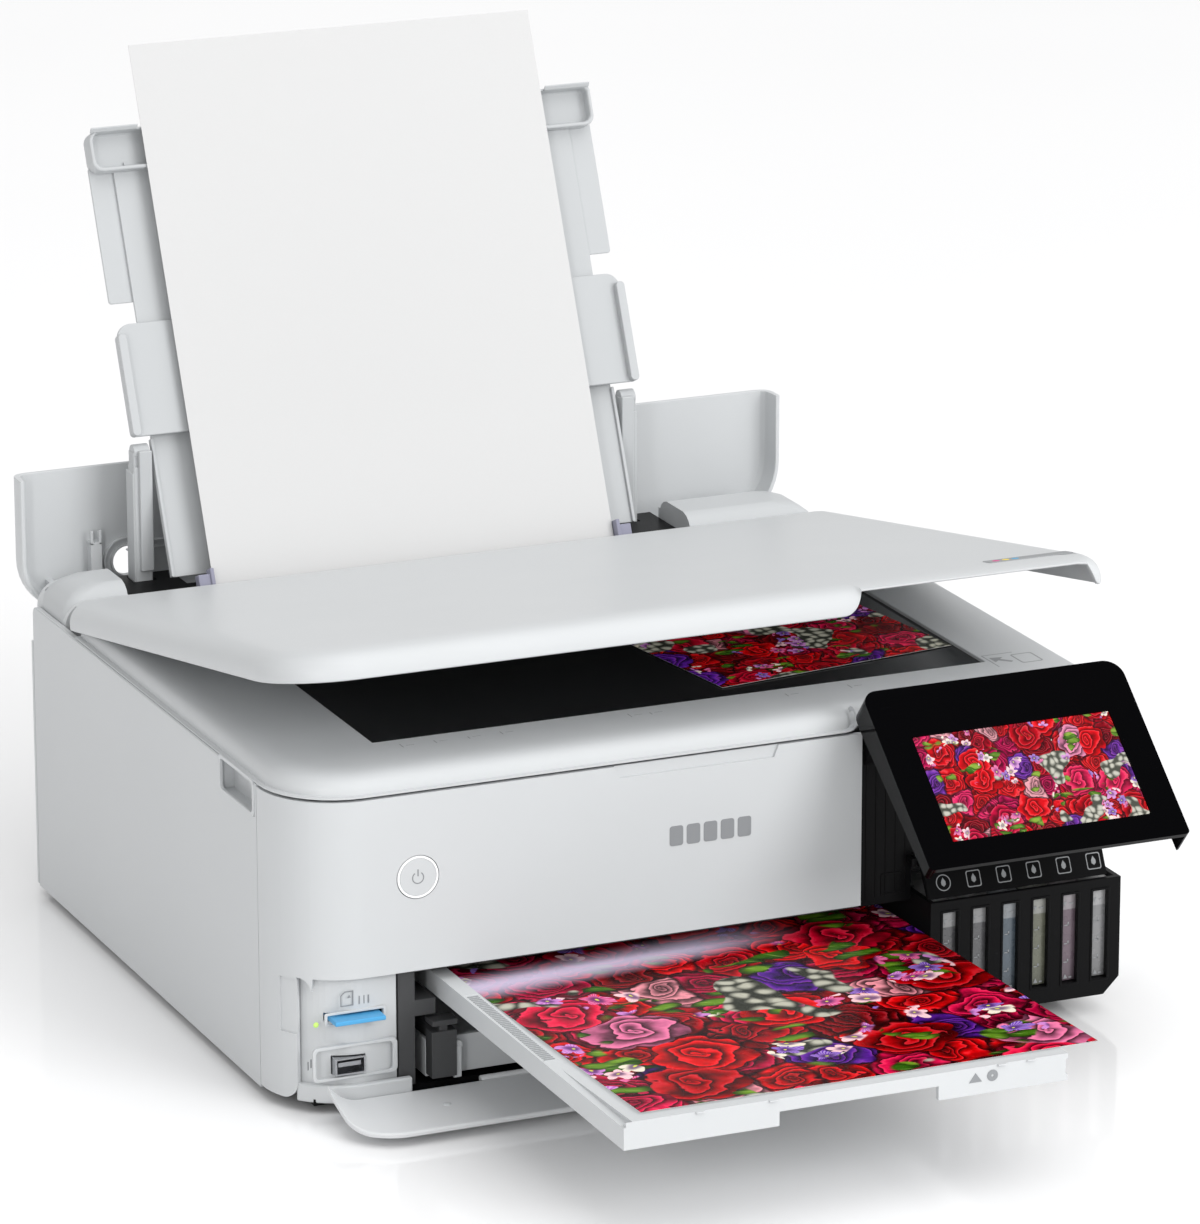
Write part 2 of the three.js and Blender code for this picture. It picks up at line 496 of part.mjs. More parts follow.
function makeLid() {
  const lid = turned(LID_HINGE, LID_ANGLE);
  const y = (value) => value - LID_HINGE.y;
  const z = (value) => value - LID_HINGE.z;
  const plan = (inset) => roundedRect(-HALF_WIDTH + inset, y(-0.5 + inset), HALF_WIDTH - inset, y(LID_REAR),
    [CORNER_RADIUS - inset, 4, 0, 0]);
  const whole = prism("z", plan(0), z(148.5), z(TOP_Z), 10);
  const inside = prism("z", plan(2.4), z(140), z(159.6), 10);
  const rearInside = box(-HALF_WIDTH - 1, HALF_WIDTH + 1, y(288), y(LID_REAR) + 1, z(140), z(159.6));
  const panelBay = box(68, HALF_WIDTH + 1, y(-2), y(2.5), z(140), z(159.6));
  const rear = y(LID_REAR) + 1;
  const bevel = prism("x", [[rear, z(TOP_Z) + 1], [rear - 4, z(TOP_Z) + 1], [rear, z(TOP_Z) - 3]],
    -HALF_WIDTH - 1, HALF_WIDTH + 1);
  const rearNotches = [-1, 1].map((side) => box(...ordered(side * (HALF_WIDTH - 3), side * (HALF_WIDTH + 1)),
    y(292), rear, z(140), z(TOP_Z) + 1));
  const ears = [-188, 188].map((x) => cut(
    join(bar("x", 4.6, x - 2, x + 2, 0, 0), box(x - 2, x + 2, -3.5, 3.5, 0, z(160))),
    bar("x", 2.9, x - 3, x + 3, 0, 0)));
  add("document_lid", join(cut(whole, inside, rearInside, panelBay, bevel, ...rearNotches), ...ears), WHITE, lid);
  add("lid_pad", box(-150, 168, y(40), y(268), z(157.3), z(159.3)), FOAM, lid);
}

// ---- rear feed ----------------------------------------------------------------------------------------------------

// Shut, the cover is a shallow hood over the feed; its own frame has the hinge line at the origin and is drawn shut.
function makeFeedCover() {
  const cover = turned(COVER_HINGE, 90);
  const top = TOP_Z - COVER_HINGE.z;
  const rear = 11;
  const plan = (inset) => roundedRect(-HALF_WIDTH + inset, -COVER_REACH, HALF_WIDTH - inset, rear - inset,
    [0, 0, 26 - inset, 26 - inset]);
  const hood = cut(prism("z", plan(0), -1, top, 8), prism("z", plan(2.4), -3, top - 2.4, 8),
    box(-HALF_WIDTH - 1, HALF_WIDTH + 1, -COVER_REACH - 1, -COVER_REACH + 0.01, -5, top - 2.4));
  const ears = [-184, 184].map((x) => cut(
    join(bar("x", 3.8, x - 1.8, x + 1.8, 0, 0), box(x - 1.8, x + 1.8, -3, 3, 0, top - 2)),
    bar("x", 2.3, x - 3, x + 3, 0, 0)));
  add("feed_cover", join(hood, ...ears), WHITE, cover);
}

function makeFeedBase() {
  const deck = box(SLOT.x0 + 1, SLOT.x1 - 1, 322, 337.4, 139, 150);
  const pads = [-1, 1].map((side) => {
    const at = FEED_CENTRE + side * 128;
    return box(at - 17, at + 17, 320, 353, 139, 153);
  });
  const sockets = [-1, 1].map((side) => {
    const at = FEED_CENTRE + side * 128;
    return box(at - 6, at + 6, 339.6, 350.4, 146, 154);
  });
  const chute = prism("x", [[309.5, 118], [312, 118], [322.5, 140], [322.5, 146], [320, 146]], -125, 92);
  add("feed_base", cut(join(deck, ...pads, chute), ...sockets), BLACK);
}

// Everything on the slope is drawn in its own frame: z runs up along the sheet and y away from it, to the back.
function makePaperSupport() {
  const slope = turned(SLOPE_FOOT, SLOPE_ANGLE);
  const c = FEED_CENTRE;
  const bottom = -A4.length + 262.8;
  add("rear_sheet", box(c - A4.width / 2, c + A4.width / 2, 0, PAPER, bottom, 262.8), PAPER_WHITE, slope);
  const armed = (half, z0, z1, y0, y1, lipDepth) => join(box(c - half, c + half, y0, y1, z0, z1),
    box(c - half, c - half + 2, y0 - lipDepth, y1, z0, z1), box(c + half - 2, c + half, y0 - lipDepth, y1, z0, z1));
  add("support_lower", armed(121, 4, 78, 2, 4, 0), WHITE, slope);
  add("support_middle", armed(133, 72.9, 128, 4.6, 6.8, 4), WHITE, slope);
  const plate = box(c - 132, c + 132, 7.4, 9.6, 84, 206);
  const relief = [box(c - 140, c - 120, 0, 12, 80, 139), box(c + 120, c + 140, 0, 12, 80, 139)];
  const handle = join(box(c - 132, c + 132, 0.8, 9.6, 218, 223), box(c - 132, c + 132, 7.4, 9.6, 200, 222),
    box(c - 132, c - 126, 0.8, 9.6, 203, 223), box(c + 126, c + 132, 0.8, 9.6, 203, 223));
  add("support_upper", join(cut(plate, ...relief), handle), WHITE, slope);
  for (const [name, side] of [["edge_guide_left", -1], ["edge_guide_right", 1]]) {
    const x = c + side * (A4.width / 2 + 1.4);
    const fence = box(x - 1, x + 1, -5, 1.4, 2, 20);
    const foot = box(...ordered(x, x + side * 7), -4, 1.4, -4, 6);
    add(name, join(fence, foot), WHITE, slope);
  }
}

function makeSupportLegs() {
  for (const [name, side] of [["support_leg_left", -1], ["support_leg_right", 1]]) {
    const at = FEED_CENTRE + side * 128;
    const leg = box(at - 5.4, at + 5.4, 340, 350, 146.4, 212);
    const head = join(box(at - 5, at + 5, 341, 349, 210, 216), bar("x", 4, at - 5, at + 5, 345, 216.4, 14));
    add(name, join(leg, head), WHITE);
  }
}

// ---- print engine -------------------------------------------------------------------------------------------------

function gear(teeth, module, x0, x1, y, z, turn = 0) {
  const pitch = (teeth * module) / 2;
  const points = [];
  const step = (2 * Math.PI) / teeth;
  for (let i = 0; i < teeth; i += 1) {
    const a = turn + i * step;
    for (const [offset, radius] of [[-0.3, pitch - 1.25 * module], [-0.12, pitch + 0.8 * module],
      [0.12, pitch + 0.8 * module], [0.3, pitch - 1.25 * module]]) {
      points.push([Math.cos(a + offset * step) * radius, Math.sin(a + offset * step) * radius]);
    }
  }
  return prism("x", points, x0, x1).translate(0, y, z);
}

const FEED_ROLLER = { y: 132, z: 74, radius: 7 };
const EJECT_ROLLER = { y: 36, z: 71, radius: 5.5 };
const GEAR_X = [-152, -146];

function makeRollers() {
  const { y, z, radius } = FEED_ROLLER;
  const shaft = bar("x", 3, -158, 99, y, z, 12);
  const tyres = [-120, -62, -4, 54].map((x) => bar("x", radius, x, x + 34, y, z, 16));
  add("feed_roller", join(shaft, ...tyres, gear(36, 1, ...GEAR_X, y, z)), RUBBER);
  const wheels = [-118, -78, -38, 2, 42].map((x) => bar("x", EJECT_ROLLER.radius, x, x + 14, EJECT_ROLLER.y,
    EJECT_ROLLER.z, 14));
  const ejectShaft = bar("x", 2.5, -134, 98, EJECT_ROLLER.y, EJECT_ROLLER.z, 12);
  add("eject_roller", join(ejectShaft, ...wheels), RUBBER);
  const pinionY = y + 24.3;
  const pinionShaft = bar("x", 1.5, -158, -130, pinionY, z, 10);
  add("drive_pinion", join(gear(12, 1, ...GEAR_X, pinionY, z, Math.PI / 12), pinionShaft), STEEL);
}

function makePrintEngine() {
  const ribs = [];
  for (let x = -122; x <= 86; x += 16) ribs.push(box(x, x + 2, 62, 112, 68, 70));
  add("platen", join(box(-130, 94, 62, 112, 64.5, 68.5), ...ribs), BLACK);
  add("carriage_rail", join(box(-190, 98, 118, 121, 96, 116), box(-190, 98, 108, 121, 113, 116)), STEEL);
  const cartridgeBay = box(-38, 30, 60, 106, 76, 106);
  const nozzles = box(-30, 22, 66, 100, 72.5, 80);
  const bearing = box(-38, 30, 100, 116.8, 98, 104);
  const beltClamp = [box(-20, 12, 104, 107, 104, 119), box(-20, 12, 104, 123.8, 116.5, 119),
    box(-20, 12, 121.5, 123.8, 98, 119)];
  add("print_carriage", join(cartridgeBay, nozzles, bearing, ...beltClamp), BLACK);
  const belt = roundedRect(-182, 124, 92, 136, 5.99);
  const inner = roundedRect(-181, 125, 91, 135, 4.99);
  const loop = cut(prism("z", belt, 98, 104, 6), prism("z", inner, 97, 105, 6));
  add("timing_belt", loop, RUBBER);
  add("belt_pulley", join(bar("z", 4.5, 96.5, 105.5, 86, 130, 20), bar("z", 1.5, 84, 110, 86, 130, 10)), STEEL);
}

function makeElectrics() {
  const unit = box(112, 190, 150, 300, 9, 44);
  const stalk = box(INLET.x - 11, INLET.x + 11, 280, 330, 40, 68);
  const inlet = box(INLET.x - INLET.width / 2, INLET.x + INLET.width / 2, 326, 347, INLET.z - 9, INLET.z + 9);
  const socket = box(INLET.x - 9, INLET.x + 9, 334, 348, INLET.z - 6, INLET.z + 6);
  const pins = [-4, 4].map((dx) => bar("y", 1.2, 333, 343, INLET.x + dx, INLET.z, 8));
  add("power_supply", join(cut(join(unit, stalk, inlet), socket), ...pins), BLACK);
  add("control_board", box(192, 193.6, 120, 320, 50, 118), GREEN);
}

// ---- assembly -----------------------------------------------------------------------------------------------------

makeBase();
makeFrontPanel();
makeSidePanel(-1);
makeSidePanel(1);
makeRear();
makeRearFrame();
makeCardPanel();
makeMouthFrame();
makeFlap();
makeCassette();
makeOutputTray();
makeTanks();
makeTankCover();
makeFrontHousing();
makeControlPanel();
makePowerButton();
makeScanner();
makeHinges();
makeLid();
makeFeedCover();
makeFeedBase();
makePaperSupport();
makeSupportLegs();
makeRollers();
makePrintEngine();
makeElectrics();

// Centre the footprint on the origin: it runs from the front of the output tray to the top edge of the loaded sheet.
const sheetRear = SLOPE_FOOT.y + 262.8 * Math.sin(radians(SLOPE_ANGLE)) + PAPER * Math.cos(radians(SLOPE_ANGLE));
printer.position.y = -(TRAY.y0 + sheetRear) / 2;

export default printer;
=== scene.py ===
"""The looks of a flatbed photo inkjet printer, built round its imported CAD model.

Shapes are written in millimetres in a working frame: y = 0 is the face of the white front panel, x = 0 the
middle of the body and z = 0 the table. Pieces on a hinge or on the paper slope are written in its own frame.
"""
import json
import math

import bmesh
import bpy
from mathutils import Matrix, Vector


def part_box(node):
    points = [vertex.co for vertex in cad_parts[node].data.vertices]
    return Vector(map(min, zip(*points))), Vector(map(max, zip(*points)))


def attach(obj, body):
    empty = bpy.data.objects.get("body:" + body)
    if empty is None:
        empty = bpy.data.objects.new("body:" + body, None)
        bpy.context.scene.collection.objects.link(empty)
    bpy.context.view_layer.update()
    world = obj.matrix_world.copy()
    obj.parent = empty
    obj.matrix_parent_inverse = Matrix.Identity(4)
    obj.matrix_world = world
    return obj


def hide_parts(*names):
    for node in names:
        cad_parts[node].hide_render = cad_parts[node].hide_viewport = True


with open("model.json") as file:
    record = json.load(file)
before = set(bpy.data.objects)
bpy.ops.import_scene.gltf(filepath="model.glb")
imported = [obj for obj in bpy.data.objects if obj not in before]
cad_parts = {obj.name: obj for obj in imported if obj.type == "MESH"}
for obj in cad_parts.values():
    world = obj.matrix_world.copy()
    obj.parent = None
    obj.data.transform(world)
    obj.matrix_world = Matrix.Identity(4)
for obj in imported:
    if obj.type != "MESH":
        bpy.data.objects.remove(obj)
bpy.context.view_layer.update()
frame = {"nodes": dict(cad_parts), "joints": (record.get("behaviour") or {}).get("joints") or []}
joints = {joint["name"]: joint for joint in frame["joints"]}

MM = 0.001
FRONT_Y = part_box("front_panel")[0].y
BODY = Matrix.Translation((0, FRONT_Y, 0))

HALF = 201.5  # half the width of the body
CORNER = 36  # radius of the front left corner, seen from above
SEAM_Z = 147  # top of the body, under the scanner unit
MOUTH_TOP = 63.8
FRONT_RIGHT = 77  # right end of the white front panel
STRAIGHT = FRONT_RIGHT + HALF - CORNER  # length of the front panel before its corner
CORNER_ARC = CORNER * math.pi / 2
POWER_X, POWER_Z = -140.4, 107.6  # middle of the power button
LID_TOP = 162
LID_REAR = 296
BEZEL_Z = 156.8
MARK_TOP = BEZEL_Z + 0.05  # printing stands this little above the bezel
GLASS = (-143, 46, 162, 262)  # x0, y0, x1, y1
FEED_CENTRE = -16.5
TANKS = 6
WINDOW_LEFT, WINDOW_WIDTH, WINDOW_PITCH = 110.2, 7.6, 15.4  # the tank windows
PAPER_THICKNESS = 0.25
SHARP = math.radians(32)  # edges sharper than this stay sharp, or are rounded by a bevel
A4_WIDTH = 210


def frame_at(y, z, degrees):
    """A frame whose origin is on the hinge line or foot at (y, z), turned so that its -Y side lifts."""
    return BODY @ Matrix.Translation((0, y * MM, z * MM)) @ Matrix.Rotation(-math.radians(degrees), 4, "X")


LID_PIVOT = (290, 151)
LID = frame_at(*LID_PIVOT, -joints["lid_open"]["range_deg"][0])
PANEL_PIVOT = (-6.6, 157.9)
PANEL = frame_at(*PANEL_PIVOT, -joints["panel_tilt"]["range_deg"][0])
COVER_PIVOT = (357, 148)
COVER = frame_at(*COVER_PIVOT, 90)
SLOPE = frame_at(308, 160, 23.6)
PRINT = frame_at(-194, 60.4, 1.8)
STRIP = frame_at(-1.5, 82, 0)
FLAP = frame_at(3, 8, 0)


# ---- camera ----

def make_camera():
    azimuth, elevation, roll = (math.radians(a) for a in (-23.527, 16.675, -0.074))
    right = Vector((math.cos(azimuth), math.sin(azimuth), 0))
    back = Vector((math.sin(azimuth) * math.cos(elevation), -math.cos(azimuth) * math.cos(elevation),
                   math.sin(elevation)))
    up = back.cross(right)
    side = right * math.cos(roll) + up * math.sin(roll)
    top = up * math.cos(roll) - right * math.sin(roll)
    data = bpy.data.cameras.new("camera")
    data.sensor_width = 36
    data.lens = 198.31
    camera = bpy.data.objects.new("camera", data)
    turn = Matrix((side, top, back)).transposed().to_4x4()
    camera.matrix_world = Matrix.Translation((-1.1926, -2.72548, 1.07477)) @ turn
    bpy.context.scene.collection.objects.link(camera)
    bpy.context.scene.camera = camera


# ---- materials ----

class Graph:
    """Shorthand for building a node tree: an input that is given a socket is linked, anything else is set."""

    def __init__(self, tree):
        self.tree = tree
        tree.nodes.clear()

    def add(self, kind, inputs=None, **settings):
        node = self.tree.nodes.new(kind)
        for name, value in settings.items():
            setattr(node, name, value)
        for key, value in (inputs or {}).items():
            if isinstance(value, bpy.types.NodeSocket):
                self.tree.links.new(value, node.inputs[key])
            else:
                node.inputs[key].default_value = value
        return node

    def math(self, operation, *values):
        return self.add("ShaderNodeMath", dict(enumerate(values)), operation=operation).outputs[0]

    def plus(self, a, b):
        return self.math("ADD", a, b)

    def minus(self, a, b):
        return self.math("SUBTRACT", a, b)

    def times(self, a, b):
        return self.math("MULTIPLY", a, b)

    def place(self):
        return self.add("ShaderNodeTexCoord").outputs["Object"]

    def axes(self, vector):
        return self.add("ShaderNodeSeparateXYZ", {0: vector}).outputs

    def mapped(self, vector, **settings):
        return self.add("ShaderNodeMapping", {"Vector": vector, **settings}).outputs[0]

    def vector_math(self, operation, a, b):
        return self.add("ShaderNodeVectorMath", {0: a, 1: b}, operation=operation).outputs[0]

    def bump(self, strength, distance, height):
        inputs = {"Strength": strength, "Distance": distance, "Height": height}
        return self.add("ShaderNodeBump", inputs).outputs[0]

    def smooth(self, value, low, high, to_low=0.0, to_high=1.0):
        inputs = {"Value": value, "From Min": low, "From Max": high, "To Min": to_low, "To Max": to_high}
        return self.add("ShaderNodeMapRange", inputs, interpolation_type="SMOOTHSTEP").outputs[0]

    def mix(self, factor, a, b, blend="MIX"):
        node = self.add("ShaderNodeMix", data_type="RGBA", blend_type=blend, clamp_factor=True)
        for key, value in (("Factor", factor), ("A", a), ("B", b)):
            wanted = "VALUE" if key == "Factor" else "RGBA"
            socket = next(s for s in node.inputs if s.name == key and s.type == wanted)
            if isinstance(value, bpy.types.NodeSocket):
                self.tree.links.new(value, socket)
            else:
                socket.default_value = value if key == "Factor" else (*value, 1)
        return next(s for s in node.outputs if s.type == "RGBA")

    def ramp(self, factor, stops, interpolation="LINEAR"):
        node = self.add("ShaderNodeValToRGB", {"Fac": factor})
        node.color_ramp.interpolation = interpolation
        points = node.color_ramp.elements
        while len(points) < len(stops):
            points.new(1)
        for point, (position, colour) in zip(points, stops):
            point.position = position
            point.color = (*colour, 1)
        return node.outputs["Color"]

    def noise(self, place, scale, detail=2.0):
        node = self.add("ShaderNodeTexNoise", {"Vector": place, "Scale": scale, "Detail": detail})
        return node.outputs["Fac"]

    def shader(self, **inputs):
        named = {key.replace("_", " "): value for key, value in inputs.items()}
        surface = self.add("ShaderNodeBsdfPrincipled", named).outputs[0]
        self.add("ShaderNodeOutputMaterial", {"Surface": surface})


def new_graph(name):
    material = bpy.data.materials.new(name)
    material.use_nodes = True
    return material, Graph(material.node_tree)


def scaled(colour, factor):
    return tuple(min(1.0, c * factor) for c in colour)


def moulded(name, colour, roughness, grain=0.25, mottle=0.03, specular=0.5):
    """Moulded material: a fine surface grain, and colour and gloss that drift a little over the piece."""
    material, g = new_graph(name)
    place = g.place()
    fine = g.noise(place, 2600)
    broad = g.noise(place, 11, 4)
    colour = g.mix(broad, scaled(colour, 1 - mottle), scaled(colour, 1 + mottle))
    gloss = g.smooth(g.plus(g.times(fine, 0.5), g.times(broad, 0.5)), 0.35, 0.65,
                     roughness - 0.05, roughness + 0.05)
    bump = g.bump(grain, 0.00004, fine)
    g.shader(Base_Color=colour, Roughness=gloss, Normal=bump, Specular_IOR_Level=specular)
    return material


def brushed(name, colour, roughness):
    """Sheet metal with fine rolling marks along X."""
    material, g = new_graph(name)
    place = g.place()
    streaks = g.mapped(place, Scale=(30, 1800, 1800))
    lines = g.noise(streaks, 1, 3)
    tone = g.mix(lines, scaled(colour, 0.85), scaled(colour, 1.1))
    gloss = g.smooth(lines, 0.3, 0.7, roughness - 0.08, roughness + 0.1)
    bump = g.bump(0.1, 0.00003, lines)
    g.shader(Base_Color=tone, Roughness=gloss, Normal=bump, Metallic=1.0)
    return material


def paper(name, colour, roughness):
    """Uncoated paper: long soft fibres in the colour and in the surface."""
    material, g = new_graph(name)
    place = g.place()
    fibres = g.noise(g.mapped(place, Scale=(900, 2600, 2600)), 1, 4)
    tone = g.mix(fibres, scaled(colour, 0.975), scaled(colour, 1.01))
    gloss = g.smooth(fibres, 0.3, 0.7, roughness - 0.05, roughness + 0.05)
    bump = g.bump(0.15, 0.00003, fibres)
    g.shader(Base_Color=tone, Roughness=gloss, Normal=bump, Specular_IOR_Level=0.2)
    return material


ROSE_COLOURS = [(0.0, (0.66, 0.002, 0.025)), (0.2, (0.84, 0.004, 0.012)), (0.38, (0.60, 0.002, 0.10)),
                (0.52, (0.88, 0.02, 0.15)), (0.64, (0.36, 0.001, 0.012)), (0.76, (0.20, 0.04, 0.46)),
                (0.84, (0.88, 0.008, 0.015)), (0.94, (0.92, 0.42, 0.48))]
LARGE_ROSE_COLOURS = [(0.0, (0.90, 0.003, 0.01)), (0.3, (0.70, 0.002, 0.06)), (0.5, (0.90, 0.02, 0.12)),
                      (0.64, (0.24, 0.05, 0.55)), (0.76, (0.66, 0.001, 0.012)), (0.92, (0.90, 0.30, 0.50))]
BLOSSOM_COLOURS = [(0.0, (0.62, 0.22, 0.62)), (0.3, (0.22, 0.08, 0.52)), (0.5, (0.92, 0.62, 0.62)),
                   (0.7, (0.75, 0.05, 0.28)), (0.85, (0.85, 0.80, 0.62))]


def polar(g, place, scale, randomness=1.0):
    """Cells over the plane: each cell's random colour, and the distance and angle from its middle."""
    cell = g.add("ShaderNodeTexVoronoi", {"Vector": place, "Scale": scale, "Randomness": randomness},
                 voronoi_dimensions="2D")
    away = g.vector_math("SUBTRACT", place, cell.outputs["Position"])
    axes = g.axes(away)
    random = g.add("ShaderNodeSeparateColor", {0: cell.outputs["Color"]}).outputs
    return cell.outputs["Distance"], g.math("ARCTAN2", axes["Y"], axes["X"]), random


def roses(g, place, warped, scale, palette):
    """Roses in cells: petals lie along a spiral that waves and noise break up."""
    r, angle, random = polar(g, warped, scale, 0.8)
    waves = g.math("SINE", g.plus(g.times(angle, 2), g.times(r, 11)))
    spiral = g.plus(g.times(g.math("POWER", r, 0.7), 6.4), g.math("DIVIDE", angle, 2 * math.pi))
    spiral = g.plus(spiral, g.times(waves, 0.34))
    spiral = g.plus(spiral, g.times(g.noise(place, 2.6 * scale, 3), 2.2))
    fold = g.math("FRACT", spiral)
    shade = g.ramp(fold, [(0.0, (0.09,) * 3), (0.25, (0.28,) * 3), (0.75, (0.86,) * 3), (0.93, (1.0,) * 3),
                          (1.0, (0.6,) * 3)])
    petals = g.ramp(random["Red"], palette, "CONSTANT")
    tips = g.mix(g.smooth(fold, 0.7, 0.97, 0.0, 0.13), petals, (1, 0.35, 0.42))
    colour = g.mix(1.0, tips, shade, "MULTIPLY")
    edge = g.add("ShaderNodeTexVoronoi", {"Vector": warped, "Scale": scale, "Randomness": 0.8},
                 voronoi_dimensions="2D", feature="DISTANCE_TO_EDGE").outputs["Distance"]
    depth = g.times(g.smooth(edge, 0.0, 0.08, 0.15, 1.0), g.smooth(r, 0.0, 0.34, 0.42, 1.0))
    return colour, depth, r, angle, random


def clump(g, place, shift, low, high):
    """Where a kind of flower grows: a few soft-edged patches."""
    return g.smooth(g.noise(g.mapped(place, Location=shift), 4.2, 1), low, high)


def bouquet(g, width, offset, upright=False):
    """Colour of a crowded bunch of roses, blossoms, berries and leaves, on a picture width metres wide."""
    place = g.place()
    if upright:
        axes = g.axes(place)
        place = g.add("ShaderNodeCombineXYZ", {"X": axes["X"], "Y": axes["Z"]}).outputs[0]
    place = g.mapped(place, Scale=(1 / width,) * 3, Location=offset)
    swirl = g.add("ShaderNodeTexNoise", {"Vector": place, "Scale": 9.0, "Detail": 2.0}).outputs["Color"]
    swirl = g.vector_math("SUBTRACT", swirl, (0.5, 0.5, 0.5))
    swirl = g.add("ShaderNodeVectorMath", {0: swirl, "Scale": 0.075}, operation="SCALE").outputs[0]
    warped = g.vector_math("ADD", place, swirl)

    # roses of two sizes, the larger ones lying over the smaller
    colour, depth = roses(g, place, warped, 6.8, ROSE_COLOURS)[:2]
    colour = g.mix(g.minus(1.0, depth), colour, (0.02, 0.004, 0.006))
    shifted = g.mapped(warped, Location=(2.3, 5.1, 0))
    large, depth, r, angle, random = roses(g, place, shifted, 4.0, LARGE_ROSE_COLOURS)
    scallop = g.math("ABSOLUTE", g.math("SINE", g.times(angle, 3.5)))
    reach = g.plus(0.38, g.times(scallop, 0.07))
    inside = g.smooth(g.minus(reach, r), 0.0, 0.012)
    shadow = g.smooth(g.minus(r, reach), 0.08, 0.0, 0.0, 0.75)
    chosen = g.math("GREATER_THAN", random["Blue"], 0.22)
    colour = g.mix(g.times(chosen, shadow), colour, (0.02, 0.002, 0.004))
    colour = g.mix(g.times(chosen, inside), colour, large)

    # leaves: pointed cells with a pale midrib, in the gaps
    turned = g.mapped(warped, Rotation=(0, 0, 0.7), Scale=(1, 2.3, 1))
    r, angle, random = polar(g, turned, 9.0)
    midrib = g.math("ABSOLUTE", g.math("SINE", angle))
    leaf = g.mix(random["Red"], (0.05, 0.16, 0.012), (0.26, 0.42, 0.05))
    leaf = g.mix(g.smooth(midrib, 0.0, 0.16, 0.6, 0.0), leaf, (0.55, 0.68, 0.25))
    leaf = g.mix(g.smooth(r, 0.15, 0.45, 0.0, 0.85), leaf, (0.01, 0.03, 0.004))
    patch = g.smooth(g.noise(place, 5.3, 1), 0.575, 0.60)
    colour = g.mix(g.times(patch, g.smooth(r, 0.44, 0.40)), colour, leaf)

    # berries: clusters of pale round heads with dark gaps
    r, angle, random = polar(g, warped, 21.0, 0.5)
    ball = g.smooth(r, 0.56, 0.16, 0.0, 1.0)
    berry = g.mix(ball, (0.02, 0.024, 0.012), (0.62, 0.61, 0.52))
    berry = g.mix(g.times(g.noise(place, 240, 1), 0.3), berry, (0.4, 0.4, 0.36))
    patch = clump(g, place, (3.7, 1.9, 0.4), 0.615, 0.625)
    colour = g.mix(patch, colour, berry)

    # small blossoms: five petals with fine streaks and a pale heart
    r, angle, random = polar(g, warped, 14.0, 0.9)
    reach = g.plus(0.27, g.times(g.math("ABSOLUTE", g.math("COSINE", g.times(angle, 2.5))), 0.22))
    inside = g.smooth(g.minus(reach, r), 0.0, 0.03)
    streak = g.math("COSINE", g.times(angle, 27))
    blossom = g.ramp(random["Green"], BLOSSOM_COLOURS, "CONSTANT")
    blossom = g.mix(g.smooth(streak, -1.0, 1.0, 0.0, 0.4), blossom, (0.95, 0.80, 0.95))
    blossom = g.mix(g.smooth(r, 0.10, 0.30, 0.75, 0.0), blossom, (0.10, 0.02, 0.16))
    blossom = g.mix(g.smooth(r, 0.07, 0.03), blossom, (0.75, 0.78, 0.15))
    patch = clump(g, place, (7.1, 4.3, 1.2), 0.585, 0.60)
    return g.mix(g.times(patch, inside), colour, blossom)


def photo_print(name, width, offset, painted_glow=0.0, painted_sheen=None):
    """A glossy print; any emission on it is painted light. sheen is how far along the sheet a painted pale
    reflection lies.
    """
    material, g = new_graph(name)
    colour = g.add("ShaderNodeGamma", {"Color": bouquet(g, width, offset), "Gamma": 1.35}).outputs["Color"]
    place = g.place()
    if painted_sheen:
        axes = g.axes(place)
        along = g.minus(axes["Y"], g.times(axes["X"], 0.12))
        band = g.times(g.smooth(along, painted_sheen - 0.022, painted_sheen), g.smooth(along, painted_sheen + 0.02, painted_sheen))
        band = g.times(band, g.smooth(axes["X"], 0.17, 0.11, 0.0, 0.85))
        # painted reflection: a pale lavender band mixed into the print's colour
        colour = g.mix(band, colour, (0.72, 0.64, 0.84))
    gloss = g.smooth(g.noise(place, 60, 3), 0.3, 0.7, 0.22, 0.32)
    # the emission is painted light: a print is no lamp
    g.shader(Base_Color=colour, Roughness=gloss, Specular_IOR_Level=0.03, Emission_Color=colour,
             Emission_Strength=painted_glow)
    return material


def lit_screen(name, width, offset):
    material, g = new_graph(name)
    colour = bouquet(g, width, offset, upright=True)
    g.shader(Base_Color=(0.004, 0.004, 0.004, 1), Roughness=0.12, Emission_Color=colour,
             Emission_Strength=1.15, Specular_IOR_Level=0.3)
    return material


def ink_wall(name, colour):
    """Smoky tank wall: darker low down, where the ink stands behind it, with a pale empty band on top."""
    material, g = new_graph(name)
    place = g.place()
    height = g.axes(place)["Z"]
    stain = g.noise(place, 160, 3)
    body = g.mix(stain, scaled(colour, 0.82), scaled(colour, 1.16))
    level = g.smooth(g.plus(height, g.times(stain, 0.0006)), 0.0528, 0.0536)
    tone = g.mix(level, body, scaled(tuple(0.5 * c + 0.17 for c in colour), 1.25))
    tone = g.mix(g.smooth(height, 0.017, 0.033, 0.35, 0.0), tone, (0.03, 0.03, 0.03))
    g.shader(Base_Color=tone, Roughness=g.smooth(stain, 0.3, 0.7, 0.2, 0.34), Coat_Weight=0.4)
    return material


